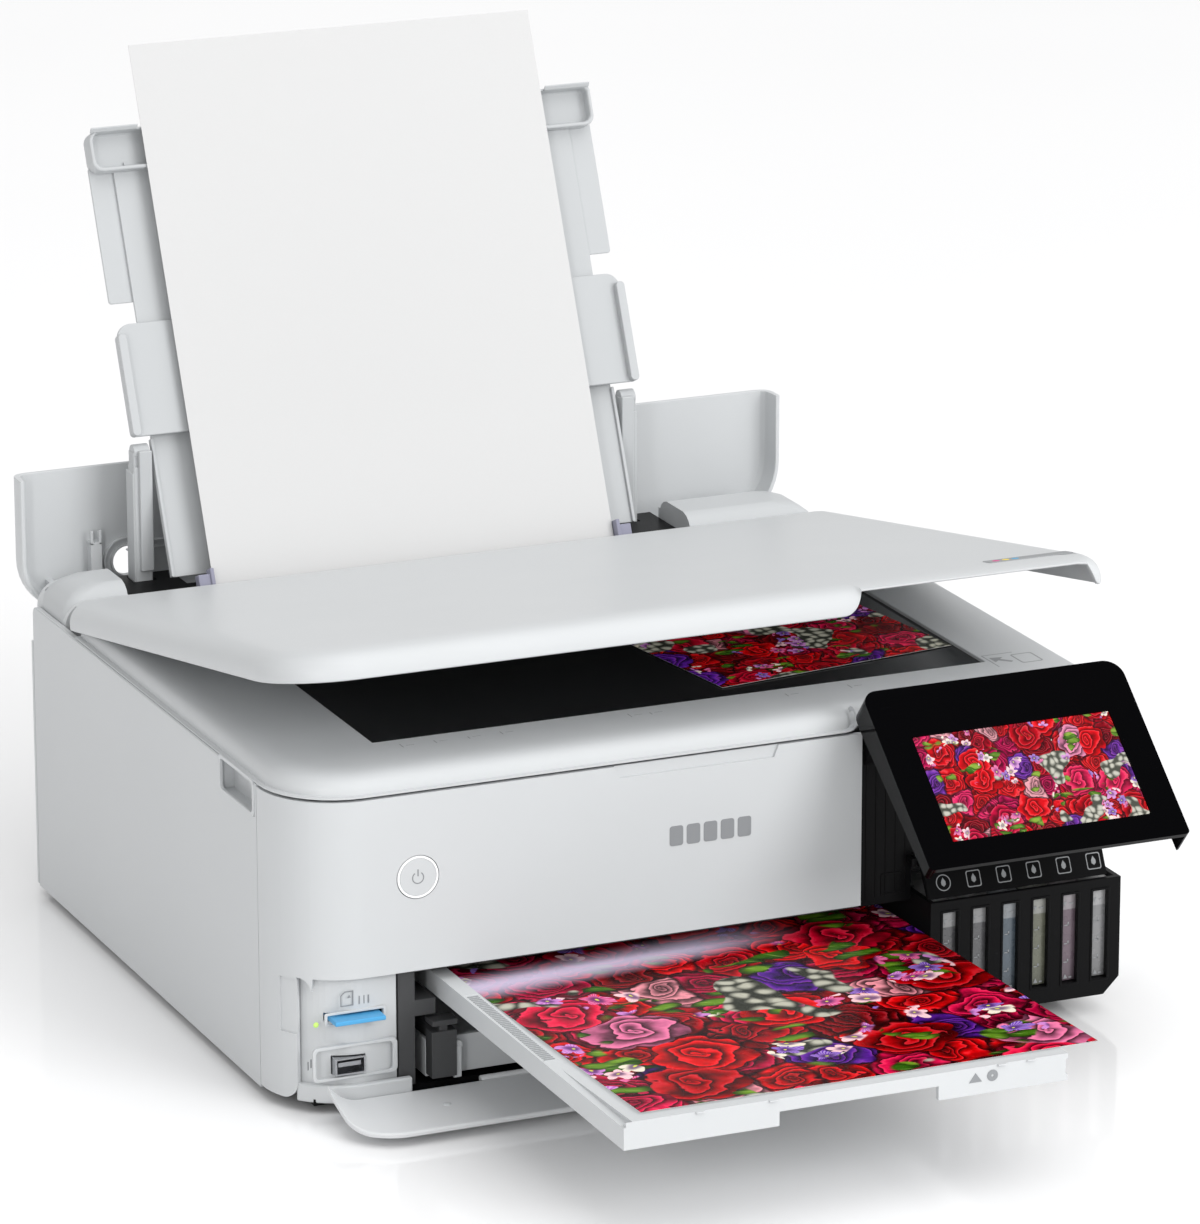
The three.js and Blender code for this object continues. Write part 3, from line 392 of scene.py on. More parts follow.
WHITE = moulded("white plastic", (0.56, 0.575, 0.585), 0.38)
# painted light: the casing's white plastic made lighter, for the flap's brightly lit top
WHITE_WITH_PAINTED_LIGHT = moulded("white plastic lightened as painted light", (0.68, 0.69, 0.70), 0.4)
SUPPORT_GREY = moulded("support plastic", (0.50, 0.515, 0.525), 0.45)
GREY = moulded("dark grey plastic", (0.055, 0.056, 0.058), 0.5)
BLACK = moulded("black plastic", (0.006, 0.006, 0.0064), 0.36, specular=0.08)
GLOSS = moulded("piano black", (0.0015, 0.0015, 0.0018), 0.1, grain=0.02, specular=0.1)
RUBBER = moulded("rubber", (0.02, 0.02, 0.02), 0.8, grain=0.8)
STEEL = brushed("plated steel", (0.55, 0.56, 0.58), 0.34)
BRASS = brushed("sintered brass", (0.62, 0.45, 0.20), 0.4)
BLUE = moulded("card blue", (0.08, 0.36, 0.66), 0.42)
BOARD = moulded("circuit board", (0.02, 0.15, 0.05), 0.4)
FOAM = moulded("pad film", (0.66, 0.67, 0.68), 0.6, grain=0.6)
SHEET = paper("office paper", (0.60, 0.60, 0.60), 0.7)
PHOTO_BACK = paper("photo paper back", (0.86, 0.86, 0.855), 0.55)
MARK_GREY = moulded("printed grey mark", (0.25, 0.26, 0.27), 0.5)
PALE_MARK = moulded("pale printed mark", (0.30, 0.31, 0.32), 0.5)
RING_WHITE = moulded("lit ring", (0.95, 0.95, 0.95), 0.3)
LED_GREEN = moulded("green lamp", (0.55, 0.85, 0.18), 0.3)
DARK_GLASS = moulded("scanner glass", (0.006, 0.0065, 0.007), 0.06, grain=0.0, mottle=0.2, specular=0.5)
LILAC = moulded("guide plastic", (0.28, 0.28, 0.36), 0.5)
CYAN_DOT = moulded("cyan dot", (0.02, 0.38, 0.68), 0.4)
MAGENTA_DOT = moulded("magenta dot", (0.68, 0.02, 0.24), 0.4)
YELLOW_DOT = moulded("yellow dot", (0.85, 0.66, 0.03), 0.4)
# the tray print carries a painted reflection near the printer's mouth
TRAY_PICTURE = photo_print("print on the tray", 0.216, (0.2, 0.3, 0), 0.0, 0.186)
# the print on the glass glows a little: painted light against the shade under the lid
GLASS_PICTURE = photo_print("print on the glass", 0.118, (4.1, 2.4, 0), 0.2)
SCREEN_PICTURE = lit_screen("picture on the screen", 0.078, (6.3, 5.2, 0))
INKS = [ink_wall(f"ink wall {i + 1}", colour) for i,
        colour in enumerate([(0.10, 0.10, 0.105), (0.115, 0.115, 0.12), (0.095, 0.12, 0.145),
                             (0.15, 0.155, 0.115), (0.15, 0.11, 0.135), (0.24, 0.24, 0.245)])]


# ---- shapes: each is (vertices, faces) in millimetres ----

def merged(*shapes):
    vertices, faces = [], []
    for points, polygons in shapes:
        start = len(vertices)
        vertices += points
        faces += [[start + i for i in polygon] for polygon in polygons]
    return vertices, faces


def loft(rings, start_cap=True, end_cap=True, closed=True):
    """Rings of equal length joined by quads."""
    size = len(rings[0])
    vertices = [tuple(p) for ring in rings for p in ring]
    faces = []
    for k in range(len(rings) - 1):
        a, b = k * size, (k + 1) * size
        for i in range(size if closed else size - 1):
            j = (i + 1) % size
            faces.append([a + i, a + j, b + j, b + i])
    if start_cap:
        faces.append(list(range(size))[::-1])
    if end_cap:
        faces.append([(len(rings) - 1) * size + i for i in range(size)])
    return vertices, faces


def rounded(x0, y0, x1, y1, radii, steps=7, stops=()):
    """A rounded rectangle from its lower left corner round; radii go the same way.

    stops are more points on the first side.
    """
    radii = radii if isinstance(radii, (tuple, list)) else (radii,) * 4
    corners = [(x0, y0, 1, 1, 180), (x1, y0, -1, 1, 270), (x1, y1, -1, -1, 0), (x0, y1, 1, -1, 90)]
    points = []
    for index, ((x, y, sx, sy, start), radius) in enumerate(zip(corners, radii)):
        radius = max(radius, 0.05)
        for k in range(steps + 1):
            a = math.radians(start + 90 * k / steps)
            points.append((x + sx * radius + radius * math.cos(a), y + sy * radius + radius * math.sin(a)))
        if index == 0:
            points += [(stop, y0) for stop in stops]
    return points


def circle(u, v, radius, sides=32):
    turns = (2 * math.pi * k / sides for k in range(sides))
    return [(u + radius * math.cos(a), v + radius * math.sin(a)) for a in turns]


PLANES = {
    "x": lambda u, v, w: (w, u, v),
    "y": lambda u, v, w: (u, w, v),
    "z": lambda u, v, w: (u, v, w),
}


def prism(axis, points, low, high):
    place = PLANES[axis]
    return loft([[place(u, v, w) for u, v in points] for w in (low, high)])


def span(a, b):
    return min(a, b), max(a, b)


def block(x0, x1, y0, y1, z0, z1):
    return prism("z", [(x0, y0), (x1, y0), (x1, y1), (x0, y1)], z0, z1)


def tube_ring(axis, outer, inner, low, high):
    """The solid between two outlines with the same number of points."""
    place = PLANES[axis]
    levels = [(outer, low), (outer, high), (inner, high), (inner, low), (outer, low)]
    return loft([[place(u, v, w) for u, v in points] for points, w in levels], False, False)


def rod(axis, u, v, radius, low, high, sides=24):
    return prism(axis, circle(u, v, radius, sides), low, high)


def dome(axis, u, v, radius, base, height, sides=24, steps=5):
    """A low round button that rises from base."""
    place = PLANES[axis]
    rings = []
    for k in range(steps):
        a = math.pi / 2 * k / steps
        rings.append([place(p, q, base + height * math.sin(a)) for p,
                      q in circle(u, v, radius * math.cos(a), sides)])
    return loft(rings)


# ---- objects ----

def finish_mesh(mesh):
    work = bmesh.new()
    work.from_mesh(mesh)
    bmesh.ops.remove_doubles(work, verts=work.verts, dist=1e-7)
    bmesh.ops.recalc_face_normals(work, faces=work.faces)
    work.to_mesh(mesh)
    work.free()
    mesh.polygons.foreach_set("use_smooth", [True] * len(mesh.polygons))
    mesh.set_sharp_from_angle(angle=SHARP)


def soften(obj, width, segments=2):
    """Moulded edges: a small round, with face normals kept flat."""
    if width:
        bevel = obj.modifiers.new("round", "BEVEL")
        bevel.width = width * MM
        bevel.segments = segments
        bevel.limit_method = "ANGLE"
        bevel.angle_limit = SHARP
        bevel.harden_normals = False
    normals = obj.modifiers.new("normals", "WEIGHTED_NORMAL")
    normals.keep_sharp = True


def solid(name, shape, material):
    vertices, faces = shape
    mesh = bpy.data.meshes.new(name)
    mesh.from_pydata([Vector(v) * MM for v in vertices], [], faces)
    finish_mesh(mesh)
    mesh.materials.append(material)
    obj = bpy.data.objects.new(name, mesh)
    bpy.context.scene.collection.objects.link(obj)
    return obj


def carve(obj, *cutters):
    """Cuts shapes, in the object's own frame, out of it."""
    tools = []
    for index, shape in enumerate(cutters):
        tool = solid(f"cutter{index}", shape, obj.data.materials[0])
        modifier = obj.modifiers.new("cut", "BOOLEAN")
        modifier.object = tool
        modifier.solver = "EXACT"
        tools.append(tool)
    result = bpy.data.meshes.new_from_object(obj.evaluated_get(bpy.context.evaluated_depsgraph_get()))
    obj.modifiers.clear()
    obj.data = result
    for tool in tools:
        bpy.data.objects.remove(tool)
    result.set_sharp_from_angle(angle=SHARP)


def put(obj, body, place=BODY, slot=None, edge=0.4, segments=2):
    """Rides a piece on a body. It replaces the CAD node that has its name, if there is one."""
    node = obj.name.split(".")[0]
    soften(obj, edge, segments)
    obj.matrix_world = place
    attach(obj, body)
    if node in frame["nodes"]:
        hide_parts(node)
    return obj


def piece(name, shape, material, body, **options):
    return put(solid(name, shape, material), body, **options)


def plastic(name, shape, body, material=WHITE, **options):
    """A piece of the casing's plastic."""
    return piece(name, shape, material, body, slot="white_plastic", **options)


def mark(name, shape, material, body, edge=0, **options):
    """Printing, as a thin raised piece."""
    return piece(name, shape, material, body, slot="dark_grey_plastic", edge=edge, **options)


def dress(node, material, edge=0.4):
    """Keeps a CAD node, with rounded edges and its own finish."""
    obj = frame["nodes"][node]
    weld = obj.modifiers.new("weld", "WELD")
    weld.merge_threshold = 0.00002
    soften(obj, edge)
    obj.data.materials.clear()
    obj.data.materials.append(material)


# ---- document lid and scanner unit ----

def smoothstep(value, low, high):
    t = min(1.0, max(0.0, (value - low) / (high - low)))
    return t * t * (3 - 2 * t)


LID_STOPS = (-120, -60, 0, 40, 60, 66, 69, 71, 72.5, 74, 75.3, 76.4, 77.2, 78, 78.6, 100, 140, 175, 188,
             193, 195, 196.5)


def lid_ring(inset, z, thin_z):
    """One level of the lid. Its front edge is deep up to x = 78, thin beyond it, deep again at the end."""
    x0, y0, x1, y1 = -HALF + inset, -0.5 + inset, HALF - 0.5 * inset, LID_REAR - 0.3 * inset
    radii = (CORNER - inset, 5, 2, 3)
    ring = []
    for x, y in rounded(x0, y0, x1, y1, radii, 9, LID_STOPS):
        level = z
        if y < 12 and x > 0:
            across = min(1.0, max(0.0, (x - 70) / 8.4))
            rise = 1 - math.sqrt(max(0.0, 1 - across ** 2))
            level = z + (max(z, thin_z) - z) * (rise * (1 - smoothstep(x, 192, 198.5)))
        ring.append((x, y - LID_PIVOT[0], level - LID_PIVOT[1]))
    return ring


def make_lid():
    # each level: inset, height, height where the front edge is thin
    outer = [(0.9, 148.5, 159.0), (0.25, 148.9, 159.2), (0, 149.7, 159.5), (0, 152.4, 159.9),
             (0.5, 154.9, 160.2), (1.7, 157.3, 160.6), (3.7, 159.4, 161.0), (6.6, 160.9, 161.4),
             (10.5, 161.7, 161.75), (16, 162.0, 162.0), (24, 162.05, 162.05)]
    inner = [(2.2, 148.5, 159.0), (2.5, 149, 159.3), (2.9, 158.4, 159.6), (4.5, 159.5, 159.6),
             (12, 159.6, 159.6)]
    rings = [lid_ring(*level) for level in reversed(inner)] + [lid_ring(*level) for level in outer]
    lid = solid("document_lid", loft(rings), WHITE)
    rear = LID_REAR - LID_PIVOT[0]
    skirt_gap = block(-HALF - 1, HALF + 1, rear - 9, rear + 1, -12, 8.73)
    notches = [block(x - 1.5, x + 1.5, rear - 1.6, rear + 1, 0, 12) for x in (-96, -92, 0, 90, 94)]
    corners = [block(*span(side * (HALF - 3), side * (HALF + 1)), rear - 4, rear + 1.5, 8, 13)
               for side in (-1, 1)]
    carve(lid, skirt_gap, *notches)
    carve(lid, *corners)
    put(lid, "lid", place=LID, slot="white_plastic", edge=0)
    ears = []
    for x in (-188, 188):
        ears += [rod("x", 0, 0, 4.6, x - 2, x + 2), block(x - 2, x + 2, -3.4, 3.4, 0, 9)]
    plastic("lid_hinge_ears", merged(*ears), "lid", place=LID)
    y0 = 14 - LID_PIVOT[0]
    plate = prism("z", rounded(153, y0 + 4, 196, y0 + 13, 1.2), LID_TOP - 151.4, LID_TOP - 150.7)
    mark("lid_badge", plate, PALE_MARK, "lid", place=LID, edge=0.15)
    for name, x, tint in (("a", 158, MAGENTA_DOT), ("b", 163, YELLOW_DOT), ("c", 168, CYAN_DOT)):
        dot = dome("z", x, y0 + 8.5, 1.9, LID_TOP - 150.75, 0.25)
        piece(f"lid_badge_dot_{name}", dot, tint, "lid", place=LID, edge=0)


BASE_STOPS = (-140, -60, 0, 50, 62, 66, 68.5, 70.5, 72, 73.2, 74.2, 75, 75.6, 76, 76.2, 120, 170)


def bezel_ring(inset, z):
    """One level of the scanner bezel. Right of x = 76 it steps back by 6.5 mm, for the control panel."""
    x0, y0, x1, y1 = -HALF + inset, inset, HALF - min(inset, 2.85 + 0.05 * inset), 281 - 0.1 * inset
    ring = []
    for x, y in rounded(x0, y0, x1, y1, (CORNER - inset, 1.0, 1.5, 1.5), 9, BASE_STOPS):
        if y < 6.6 + inset and x > 60:
            t = min(1.0, max(0.0, (x - 68 + inset * 0.6) / 8))
            back = 1 - math.sqrt(max(0.0, 1 - t * t))
            y = max(y, inset + (6.6 - inset * 0.3) * back)
        ring.append((x, y, z))
    return ring


def make_scanner():
    x0, y0, x1, y1 = GLASS
    # each level: inset, height
    levels = [(3.5, 147.3), (0.5, 147.3), (0, 147.6), (0, 147.95), (0.5, 148.2), (2.6, 148.3),
              (2.75, 148.9), (3.0, 150.6), (3.9, 152.7), (5.7, 154.6), (8.6, 155.9), (12.5, 156.55),
              (18, 156.8)]
    rings = [bezel_ring(*level) for level in levels]
    stops = [x0 + 2 + (x1 - x0 - 4) * (k + 1) / (len(BASE_STOPS) + 1) for k in range(len(BASE_STOPS))]
    for inset, z in ((-0.4, BEZEL_Z), (0, BEZEL_Z - 0.3), (0, BEZEL_Z - 1.5), (-2.4, BEZEL_Z - 1.5)):
        window = rounded(x0 + inset, y0 + inset, x1 - inset, y1 - inset, 0.6, 9, stops)
        rings.append([(x, y, z) for x, y in window])
    skin = loft(rings, False, False)
    outer, inner = rounded(-190, 40, 190, 278, 3), rounded(-187.6, 42.4, 187.6, 275.6, 3)
    steps = ((outer, 148), (outer, 124), (inner, 126.4), (inner, 148))
    tub = loft([[(x, y, z) for x, y in ring] for ring, z in steps], False, False)
    floor = prism("z", outer, 124, 126.4)
    shelf_edge = [(x, y, 147.3) for x, y in rounded(-190, 40, 190, 278, 3, 9, stops)]
    shelf = loft([rings[0], shelf_edge], False, False)
    ears = []
    for x in (-171, 171):
        ears += [rod("x", 290, 151, 5, x - 2.5, x + 2.5), block(x - 2.5, x + 2.5, 275, 290, 146, 151)]
    shape = merged(skin, tub, floor, shelf, *ears, rod("y", 10, 133, 3, 42, 274))
    plastic("scanner_base", shape, "scanner_unit", edge=0)
    cap = tube_ring("x", circle(7.6, 151.6, 5.4), circle(7.6, 151.6, 3.4), 75.2, 75.8)
    plastic("bezel_end_cap", cap, "scanner_unit", edge=0.1)
    ticks = []
    for x, tall in ((-133, 5), (-117, 4), (-101, 3), (-85, 4), (-22, 5), (-12, 3), (56, 4), (88, 5)):
        ticks.append(block(x - 0.25, x + 0.25, 34, 34 + tall, BEZEL_Z, MARK_TOP))
        ticks.append(block(x + 2, x + 6, 36, 36.35, BEZEL_Z, MARK_TOP))
    arrow = [(166, 50), (166, 43), (168.5, 45.2), (173, 40.5), (174.5, 42), (170, 46.6), (172.4, 49)]
    page, opening = rounded(177, 37, 188, 51, 1.5), rounded(177.7, 37.7, 187.3, 50.3, 1.2)
    marks = [prism("z", arrow, BEZEL_Z, MARK_TOP),
             block(164, 180, 54, 54.5, BEZEL_Z, MARK_TOP),
             block(164, 164.5, 36, 54, BEZEL_Z, MARK_TOP),
             tube_ring("z", page, opening, BEZEL_Z, MARK_TOP)]
    mark("bezel_marks", merged(*ticks, *marks), PALE_MARK, "scanner_unit")


# ---- casing ----

RECESS_ANGLE = 51  # how far round the front left corner the card recess reaches


def corner_path(distance, set_back=0.0):
    """Point and outward normal at a distance along the front panel, from its right end round the corner."""
    if distance <= STRAIGHT:
        return (FRONT_RIGHT - distance, set_back), (0, -1)
    if distance <= STRAIGHT + CORNER_ARC:
        a = (distance - STRAIGHT) / CORNER
        nx, ny = -math.sin(a), -math.cos(a)
        reach = CORNER - set_back
        return (-HALF + CORNER + reach * nx, CORNER + reach * ny), (nx, ny)
    return (-HALF + set_back, CORNER + distance - STRAIGHT - CORNER_ARC), (-1, 0)


def make_front_panel():
    edge_at = STRAIGHT + CORNER * math.radians(RECESS_ANGLE)
    stops = [0, 40, 100, 160, 210, STRAIGHT]
    stops += [STRAIGHT + CORNER_ARC * k / 28 for k in range(1, 29)]
    stops.append(STRAIGHT + CORNER_ARC + 2.6)
    columns = []
    for distance in stops:
        if not edge_at - 7 < distance < edge_at + 8:
            columns.append((distance, MOUTH_TOP if distance < edge_at else 6.0))
    for k in range(9):
        a = math.pi / 2 * k / 8
        columns.append((edge_at - 7 * math.cos(a), MOUTH_TOP - 7 * (1 - math.cos(math.pi / 2 - a)) * 0.9))
        columns.append((edge_at + 0.02 + 8 * (1 - math.cos(a)), 6.0 + 8 * (1 - math.sin(a))))
    columns.sort(key=lambda column: column[0])
    rows = 14
    top = SEAM_Z - 0.8
    rings = []
    for distance, low in columns:
        (x, y), (nx, ny) = corner_path(distance)
        outside = [(x, y, low + (top - low) * k / rows) for k in range(rows + 1)]
        inside = [(x - 2.5 * nx, y - 2.5 * ny, z) for x, y, z in reversed(outside)]
        rings.append(outside + inside)
    panel = solid("front_panel", loft(rings), WHITE)
    groove = prism("y", [(-46, 148), (-43, 140.6), (33, 140.6), (36, 148)], -1, 1.3)
    button = rod("y", POWER_X, POWER_Z, 10.2, -2, 5, 48)
    angles = [RECESS_ANGLE - 6 + 3 * k for k in range(8)]
    around = [corner_path(STRAIGHT + CORNER * math.radians(a), -1.0)[0] for a in angles]
    around += [corner_path(STRAIGHT + CORNER * math.radians(a), 0.7)[0] for a in reversed(angles)]
    relief = prism("z", around, 37, MOUTH_TOP - 1)
    carve(panel, groove, button, relief)
    put(panel, "printer_body", slot="white_plastic", edge=0.5, segments=3)


def make_power_button():
    x, z = POWER_X, POWER_Z
    # each level: radius, depth
    levels = [(9.9, 3.0), (9.9, 0.1), (9.7, -0.1), (9.2, -0.15), (9.1, 0.05), (8.6, 0.05), (8.5, -0.15),
              (4, -0.15)]
    cap = loft([[(u, y, v) for u, v in circle(x, z, radius, 48)] for radius, y in levels])
    plastic("power_button", merged(cap, rod("y", x, z, 3, 3, 9)), "power_key", edge=0)
    piece("power_ring", tube_ring("y", circle(x, z, 9.75, 48), circle(x, z, 8.85, 48), -0.22, 0.2),
          RING_WHITE, "power_key", edge=0.08)
    arc = [math.radians(a) for a in range(125, 416, 10)]
    outline = [(x + 2.9 * math.cos(a), z - 0.3 + 2.9 * math.sin(a)) for a in arc]
    outline += [(x + 2.35 * math.cos(a), z - 0.3 + 2.35 * math.sin(a)) for a in reversed(arc)]
    icon = merged(prism("y", outline, -0.22, -0.1), block(x - 0.3, x + 0.3, -0.22, -0.1, z + 0.4, z + 3.6))
    piece("power_icon", icon, MARK_GREY, "power_key", edge=0)


# ---- rear feed ----

def make_feed_cover():
    reach, rear, top = -57, 11, LID_TOP - COVER_PIVOT[1]

    def ring(inset, z):
        outline = rounded(-HALF + inset, reach - 30 + inset, HALF - inset, rear - inset,
                          (0.3, 0.3, 34 - inset, 26 - inset), 10)
        return [(x, y, z) for x, y in outline]

    levels = [(2.2, -1), (0.6, -1.2), (0, -0.6), (0, top - 6.5), (0.7, top - 3.6), (2.4, top - 1.5),
              (5, top - 0.35), (9, top), (14, top)]
    inner = [(2.8, top - 8), (3.4, top - 5), (5.4, top - 3), (9, top - 2.4), (15, top - 2.4)]
    rings = [ring(*level) for level in reversed(inner)] + [ring(*level) for level in levels]
    cover = solid("feed_cover", loft(rings), WHITE)
    arch_x, arch_y = -144, -8
    beyond = block(-HALF - 5, HALF + 5, reach - 40, reach, -10, top + 10)
    carve(cover, beyond, rod("z", arch_x, arch_y, 7.4, 0, top + 5, 40))
    put(cover, "rear_cover", place=COVER, slot="white_plastic", edge=0.3)
    inside = top - 2.4
    ribs = [block(arch_x, arch_x + 34, arch_y - 9 + k, arch_y - 8.2 + k, inside - 1.5, inside + 0.5)
            for k in (0, 3.5)]
    hook = [block(-164, -158.4, -20, 4, inside - 6, inside + 0.5)]
    hook += [block(x, x + 1.4, -26, -19, inside - 6, inside - 4) for x in (-164, -159.8)]
    ears = []
    for x in (-184, 184):
        ears += [rod("x", 0, 0, 3.6, x - 1.8, x + 1.8), block(x - 1.8, x + 1.8, -3, 3, 0, top - 2)]
    arch = [tube_ring("z", circle(arch_x, arch_y, outer, 40), circle(arch_x, arch_y, hole, 40), inside - 2,
                      inside + 0.4) for outer, hole in ((12, 11.2), (8.4, 7.4))]
    plastic("feed_cover_ribs", merged(*ribs, *hook, *ears), "rear_cover", place=COVER, edge=0.2)
    plastic("feed_cover_arch", merged(*arch), "rear_cover", place=COVER, edge=0.1)


def make_shoulders():
    """Rounded covers over both ends of the rear paper feed."""
    levels = [(0, 146.9), (0, 150), (0.9, 153.5), (3.2, 157.2), (7, 160.2), (12, 162.2), (18, 163.2),
              (20.4, 163.4)]
    for name, x0, x1, ends in (("left", -198.7, -165.9, (1, 0)), ("right", 128.9, 198.7, (0, 1))):
        radii = (6 * ends[0], 6 * ends[1], 9 * ends[1], 9 * ends[0])
        rings = []
        for inset, z in levels:
            edges = (x0 + ends[0] * inset, 302.8 + 0.55 * inset, x1 - ends[1] * inset, 343.3 - 0.5 * inset)
            rings.append([(x, y, z) for x, y in rounded(*edges, radii, 8)])
        plastic(f"shoulder_cap_{name}", loft(rings), "printer_body", SUPPORT_GREY, edge=0)


def make_casing_details():
    outer, inner = rounded(41.2, 130.2, 86, 148.2, 3.5, 8), rounded(43.4, 132.2, 83.8, 146.4, 2.5, 8)
    plastic("grip_frame", tube_ring("x", outer, inner, -HALF - 0.5, -HALF + 1.2), "printer_body", edge=0.25)
    rim = block(-HALF - 0.35, -HALF + 0.6, 86, 338, SEAM_Z - 1.9, SEAM_Z - 0.5)
    plastic("side_rim", rim, "printer_body", edge=0.2)
    near, far = STRAIGHT - 22, STRAIGHT + CORNER * math.radians(RECESS_ANGLE + 2)
    path = [near + (far - near) * k / 16 for k in range(17)]
    foot = [corner_path(d, 0.6)[0] for d in path] + [corner_path(d, 4.2)[0] for d in reversed(path)]
    plastic("corner_foot", prism("z", foot, 5.2, 13.5), "printer_body", edge=0.8)
    bars = [prism("y", rounded(x, 105.2, x + 6.6, 114.6, 1.3), -0.22, 0.2)
            for x in (-18.5, -10.1, -1.7, 6.7, 15.1)]
    mark("front_badge", merged(*bars), MARK_GREY, "printer_body", edge=0.08)


def make_support():
    c = FEED_CENTRE
    wide = 132  # half the width of the middle and upper stages
    for name, side in (("left", -1), ("right", 1)):
        x = c + side * (A4_WIDTH / 2 + 1.4)
        fence = block(x - 1, x + 1, -5, 1.4, -4, 4.6)
        foot = block(*span(x, x + side * 7), -4, 1.4, -6, 2)
        plastic(f"edge_guide_{name}", merged(fence, foot), f"guide_{name}", LILAC, place=SLOPE)
    lower = [prism("y", rounded(c - 121, 4, c + 121, 82, 0.5), 10.8, 12.6)]
    for side in (-1, 1):
        near, far = span(c + side * 120.4, c + side * 122)
        lower.append(prism("y", rounded(near, 4, far, 72, 0.6), 9.2, 12.6))
    plastic("support_lower", merged(*lower), "printer_body", SUPPORT_GREY, place=SLOPE, edge=0.3)

    middle = [prism("y", rounded(c - wide, 73, c + wide, 128, (1, 1, 7, 7)), 4.6, 6.8)]
    for side in (-1, 1):
        near, far = span(c + side * 128.6, c + side * 133)
        middle.append(prism("y", rounded(near, 72.9, far, 123, 2.1, 5), 0.6, 6.6))
    plastic("support_middle", merged(*middle), "printer_body", SUPPORT_GREY, place=SLOPE)

    rail = prism("y", rounded(c - 120, 84, c + 120, 205, 1), 7.4, 9.0)
    wing = prism("y", rounded(c - wide, 139, c + wide, 206, (1.5, 1.5, 1, 1)), 8.9, 10.4)
    levels = [(0, 10.2), (0, 2.4), (0.3, 1.2), (1.0, 0.8), (1.6, 0.9), (2.1, 1.6), (2.3, 6.4), (3.4, 7.4),
              (6, 7.6)]
    rings = []
    for i, y in levels:
        radii = (5.5 - i * 0.7, 5.5 - i * 0.7, 3 - i * 0.3, 5.5 - i * 0.7)
        outline = rounded(c - wide + i, 202.5 + i, c + wide - i, 223 - i * 0.7, radii)
        rings.append([(x, y, z) for x, z in outline])
    scoop = loft(rings)
    flare = [(1.2, 221.6), (0.6, 222.6), (-1.6, 223.9), (-1.8, 223.3), (-0.2, 221.8)]
    lips = [prism("x", flare, *span(c + side * 107, c + side * 131)) for side in (-1, 1)]
    tab = block(c - 114.5, c - 113.5, 6, 8, 203, 207)
    plastic("support_upper", merged(rail, wing, scoop, *lips, tab), "support_top", SUPPORT_GREY,
            place=SLOPE, edge=0.3)

    for name, side in (("left", -1), ("right", 1)):
        at = c + side * 128
        post = prism("z", rounded(at - 4.4, 340.4, at + 4.4, 349.6, 1), 146.4, 210)
        rib = at - side * 1.2
        front_rib = prism("z", rounded(rib - 3.2, 338.6, rib + 3.2, 341, 0.5), 158, 218)
        head = prism("x", circle(345, 216.4, 3.9), at - 3.8, at + 4.2)
        neck = block(at - 4.2, at + 4.2, 341.4, 348.6, 208, 217)
        side_rail = prism("z", rounded(at + side * 3.6 - 1.3, 341, at + side * 3.6 + 1.3, 351, 0.5), 152, 207)
        plastic(f"support_leg_{name}", merged(post, front_rib, head, neck, side_rail), "printer_body",
                SUPPORT_GREY)


def bowed_sheet(name, x0, x1, z0, z1, bow, material, body, place, slot):
    """A sheet of paper that bows forward a little between its edges."""
    columns, rows = 14, 22
    grid = []
    for j in range(rows + 1):
        z, depth = z0 + (z1 - z0) * j / rows, 0.3 + 0.7 * j / rows
        grid.append([(x0 + (x1 - x0) * i / columns, -bow * math.sin(math.pi * i / columns) * depth, z)
                     for i in range(columns + 1)])
    sheet = solid(name, loft(grid, False, False, closed=False), material)
    thick = sheet.modifiers.new("thickness", "SOLIDIFY")
    thick.thickness = PAPER_THICKNESS * MM
    thick.offset = 0
    put(sheet, body, place=place, slot=slot, edge=0)


# ---- prints ----

def printed_sheet(name, width, length, curl, picture, body, place):
    """A photo print: picture on top, bare paper on the edges and below. Its front edge curls up a little."""
    columns, rows = 12, 16
    grid = []
    for j in range(rows + 1):
        y, lift = length * j / rows, curl * (1 - j / rows) ** 6
        grid.append([(width * i / columns, y, 0.3 + lift * (0.4 + 0.6 * abs(2 * i / columns - 1)))
                     for i in range(columns + 1)])
    sheet = solid(name, loft(grid, False, False, closed=False), picture)
    sheet.data.materials.append(PHOTO_BACK)
    thick = sheet.modifiers.new("thickness", "SOLIDIFY")
    thick.thickness = PAPER_THICKNESS * MM
    thick.offset = -1
    thick.material_offset = 1
    thick.material_offset_rim = 1
    if sheet.data.polygons[0].normal.z < 0:
        sheet.data.flip_normals()
    sheet.visible_diffuse = False
    put(sheet, body, place=place, slot="photo_paper", edge=0)


# ---- output side ----

def make_tray_details():
    ribs = [block(-127.6, -122.6, -112 + 2.2 * k, -110.9 + 2.2 * k, 57.3, 57.75) for k in range(40)]
    mark("tray_rail_ribs", merged(*ribs), PALE_MARK, "tray")
    ends = [block(-128.4, -121.6, y, y + 0.5, 57.3, 57.7) for y in (-113.4, -22.6)]
    plastic("tray_rail_frame", merged(*ends), "tray", edge=0)
    front = -200.15
    triangle = prism("y", [(32.4, 53.2), (38.6, 53.2), (35.5, 57.4)], front - 0.05, front + 0.3)
    disc = tube_ring("y", circle(43.6, 55.2, 2.6), circle(43.6, 55.2, 0.6), front - 0.05, front + 0.3)
    mark("tray_marks", merged(triangle, disc), MARK_GREY, "tray")
    nubs = [block(x, x + 4, -201.2, -199, 59.2, 59.9) for x in (-96, -62, 46, 60)]
    plastic("tray_lip_nubs", merged(*nubs), "tray", edge=0.2)


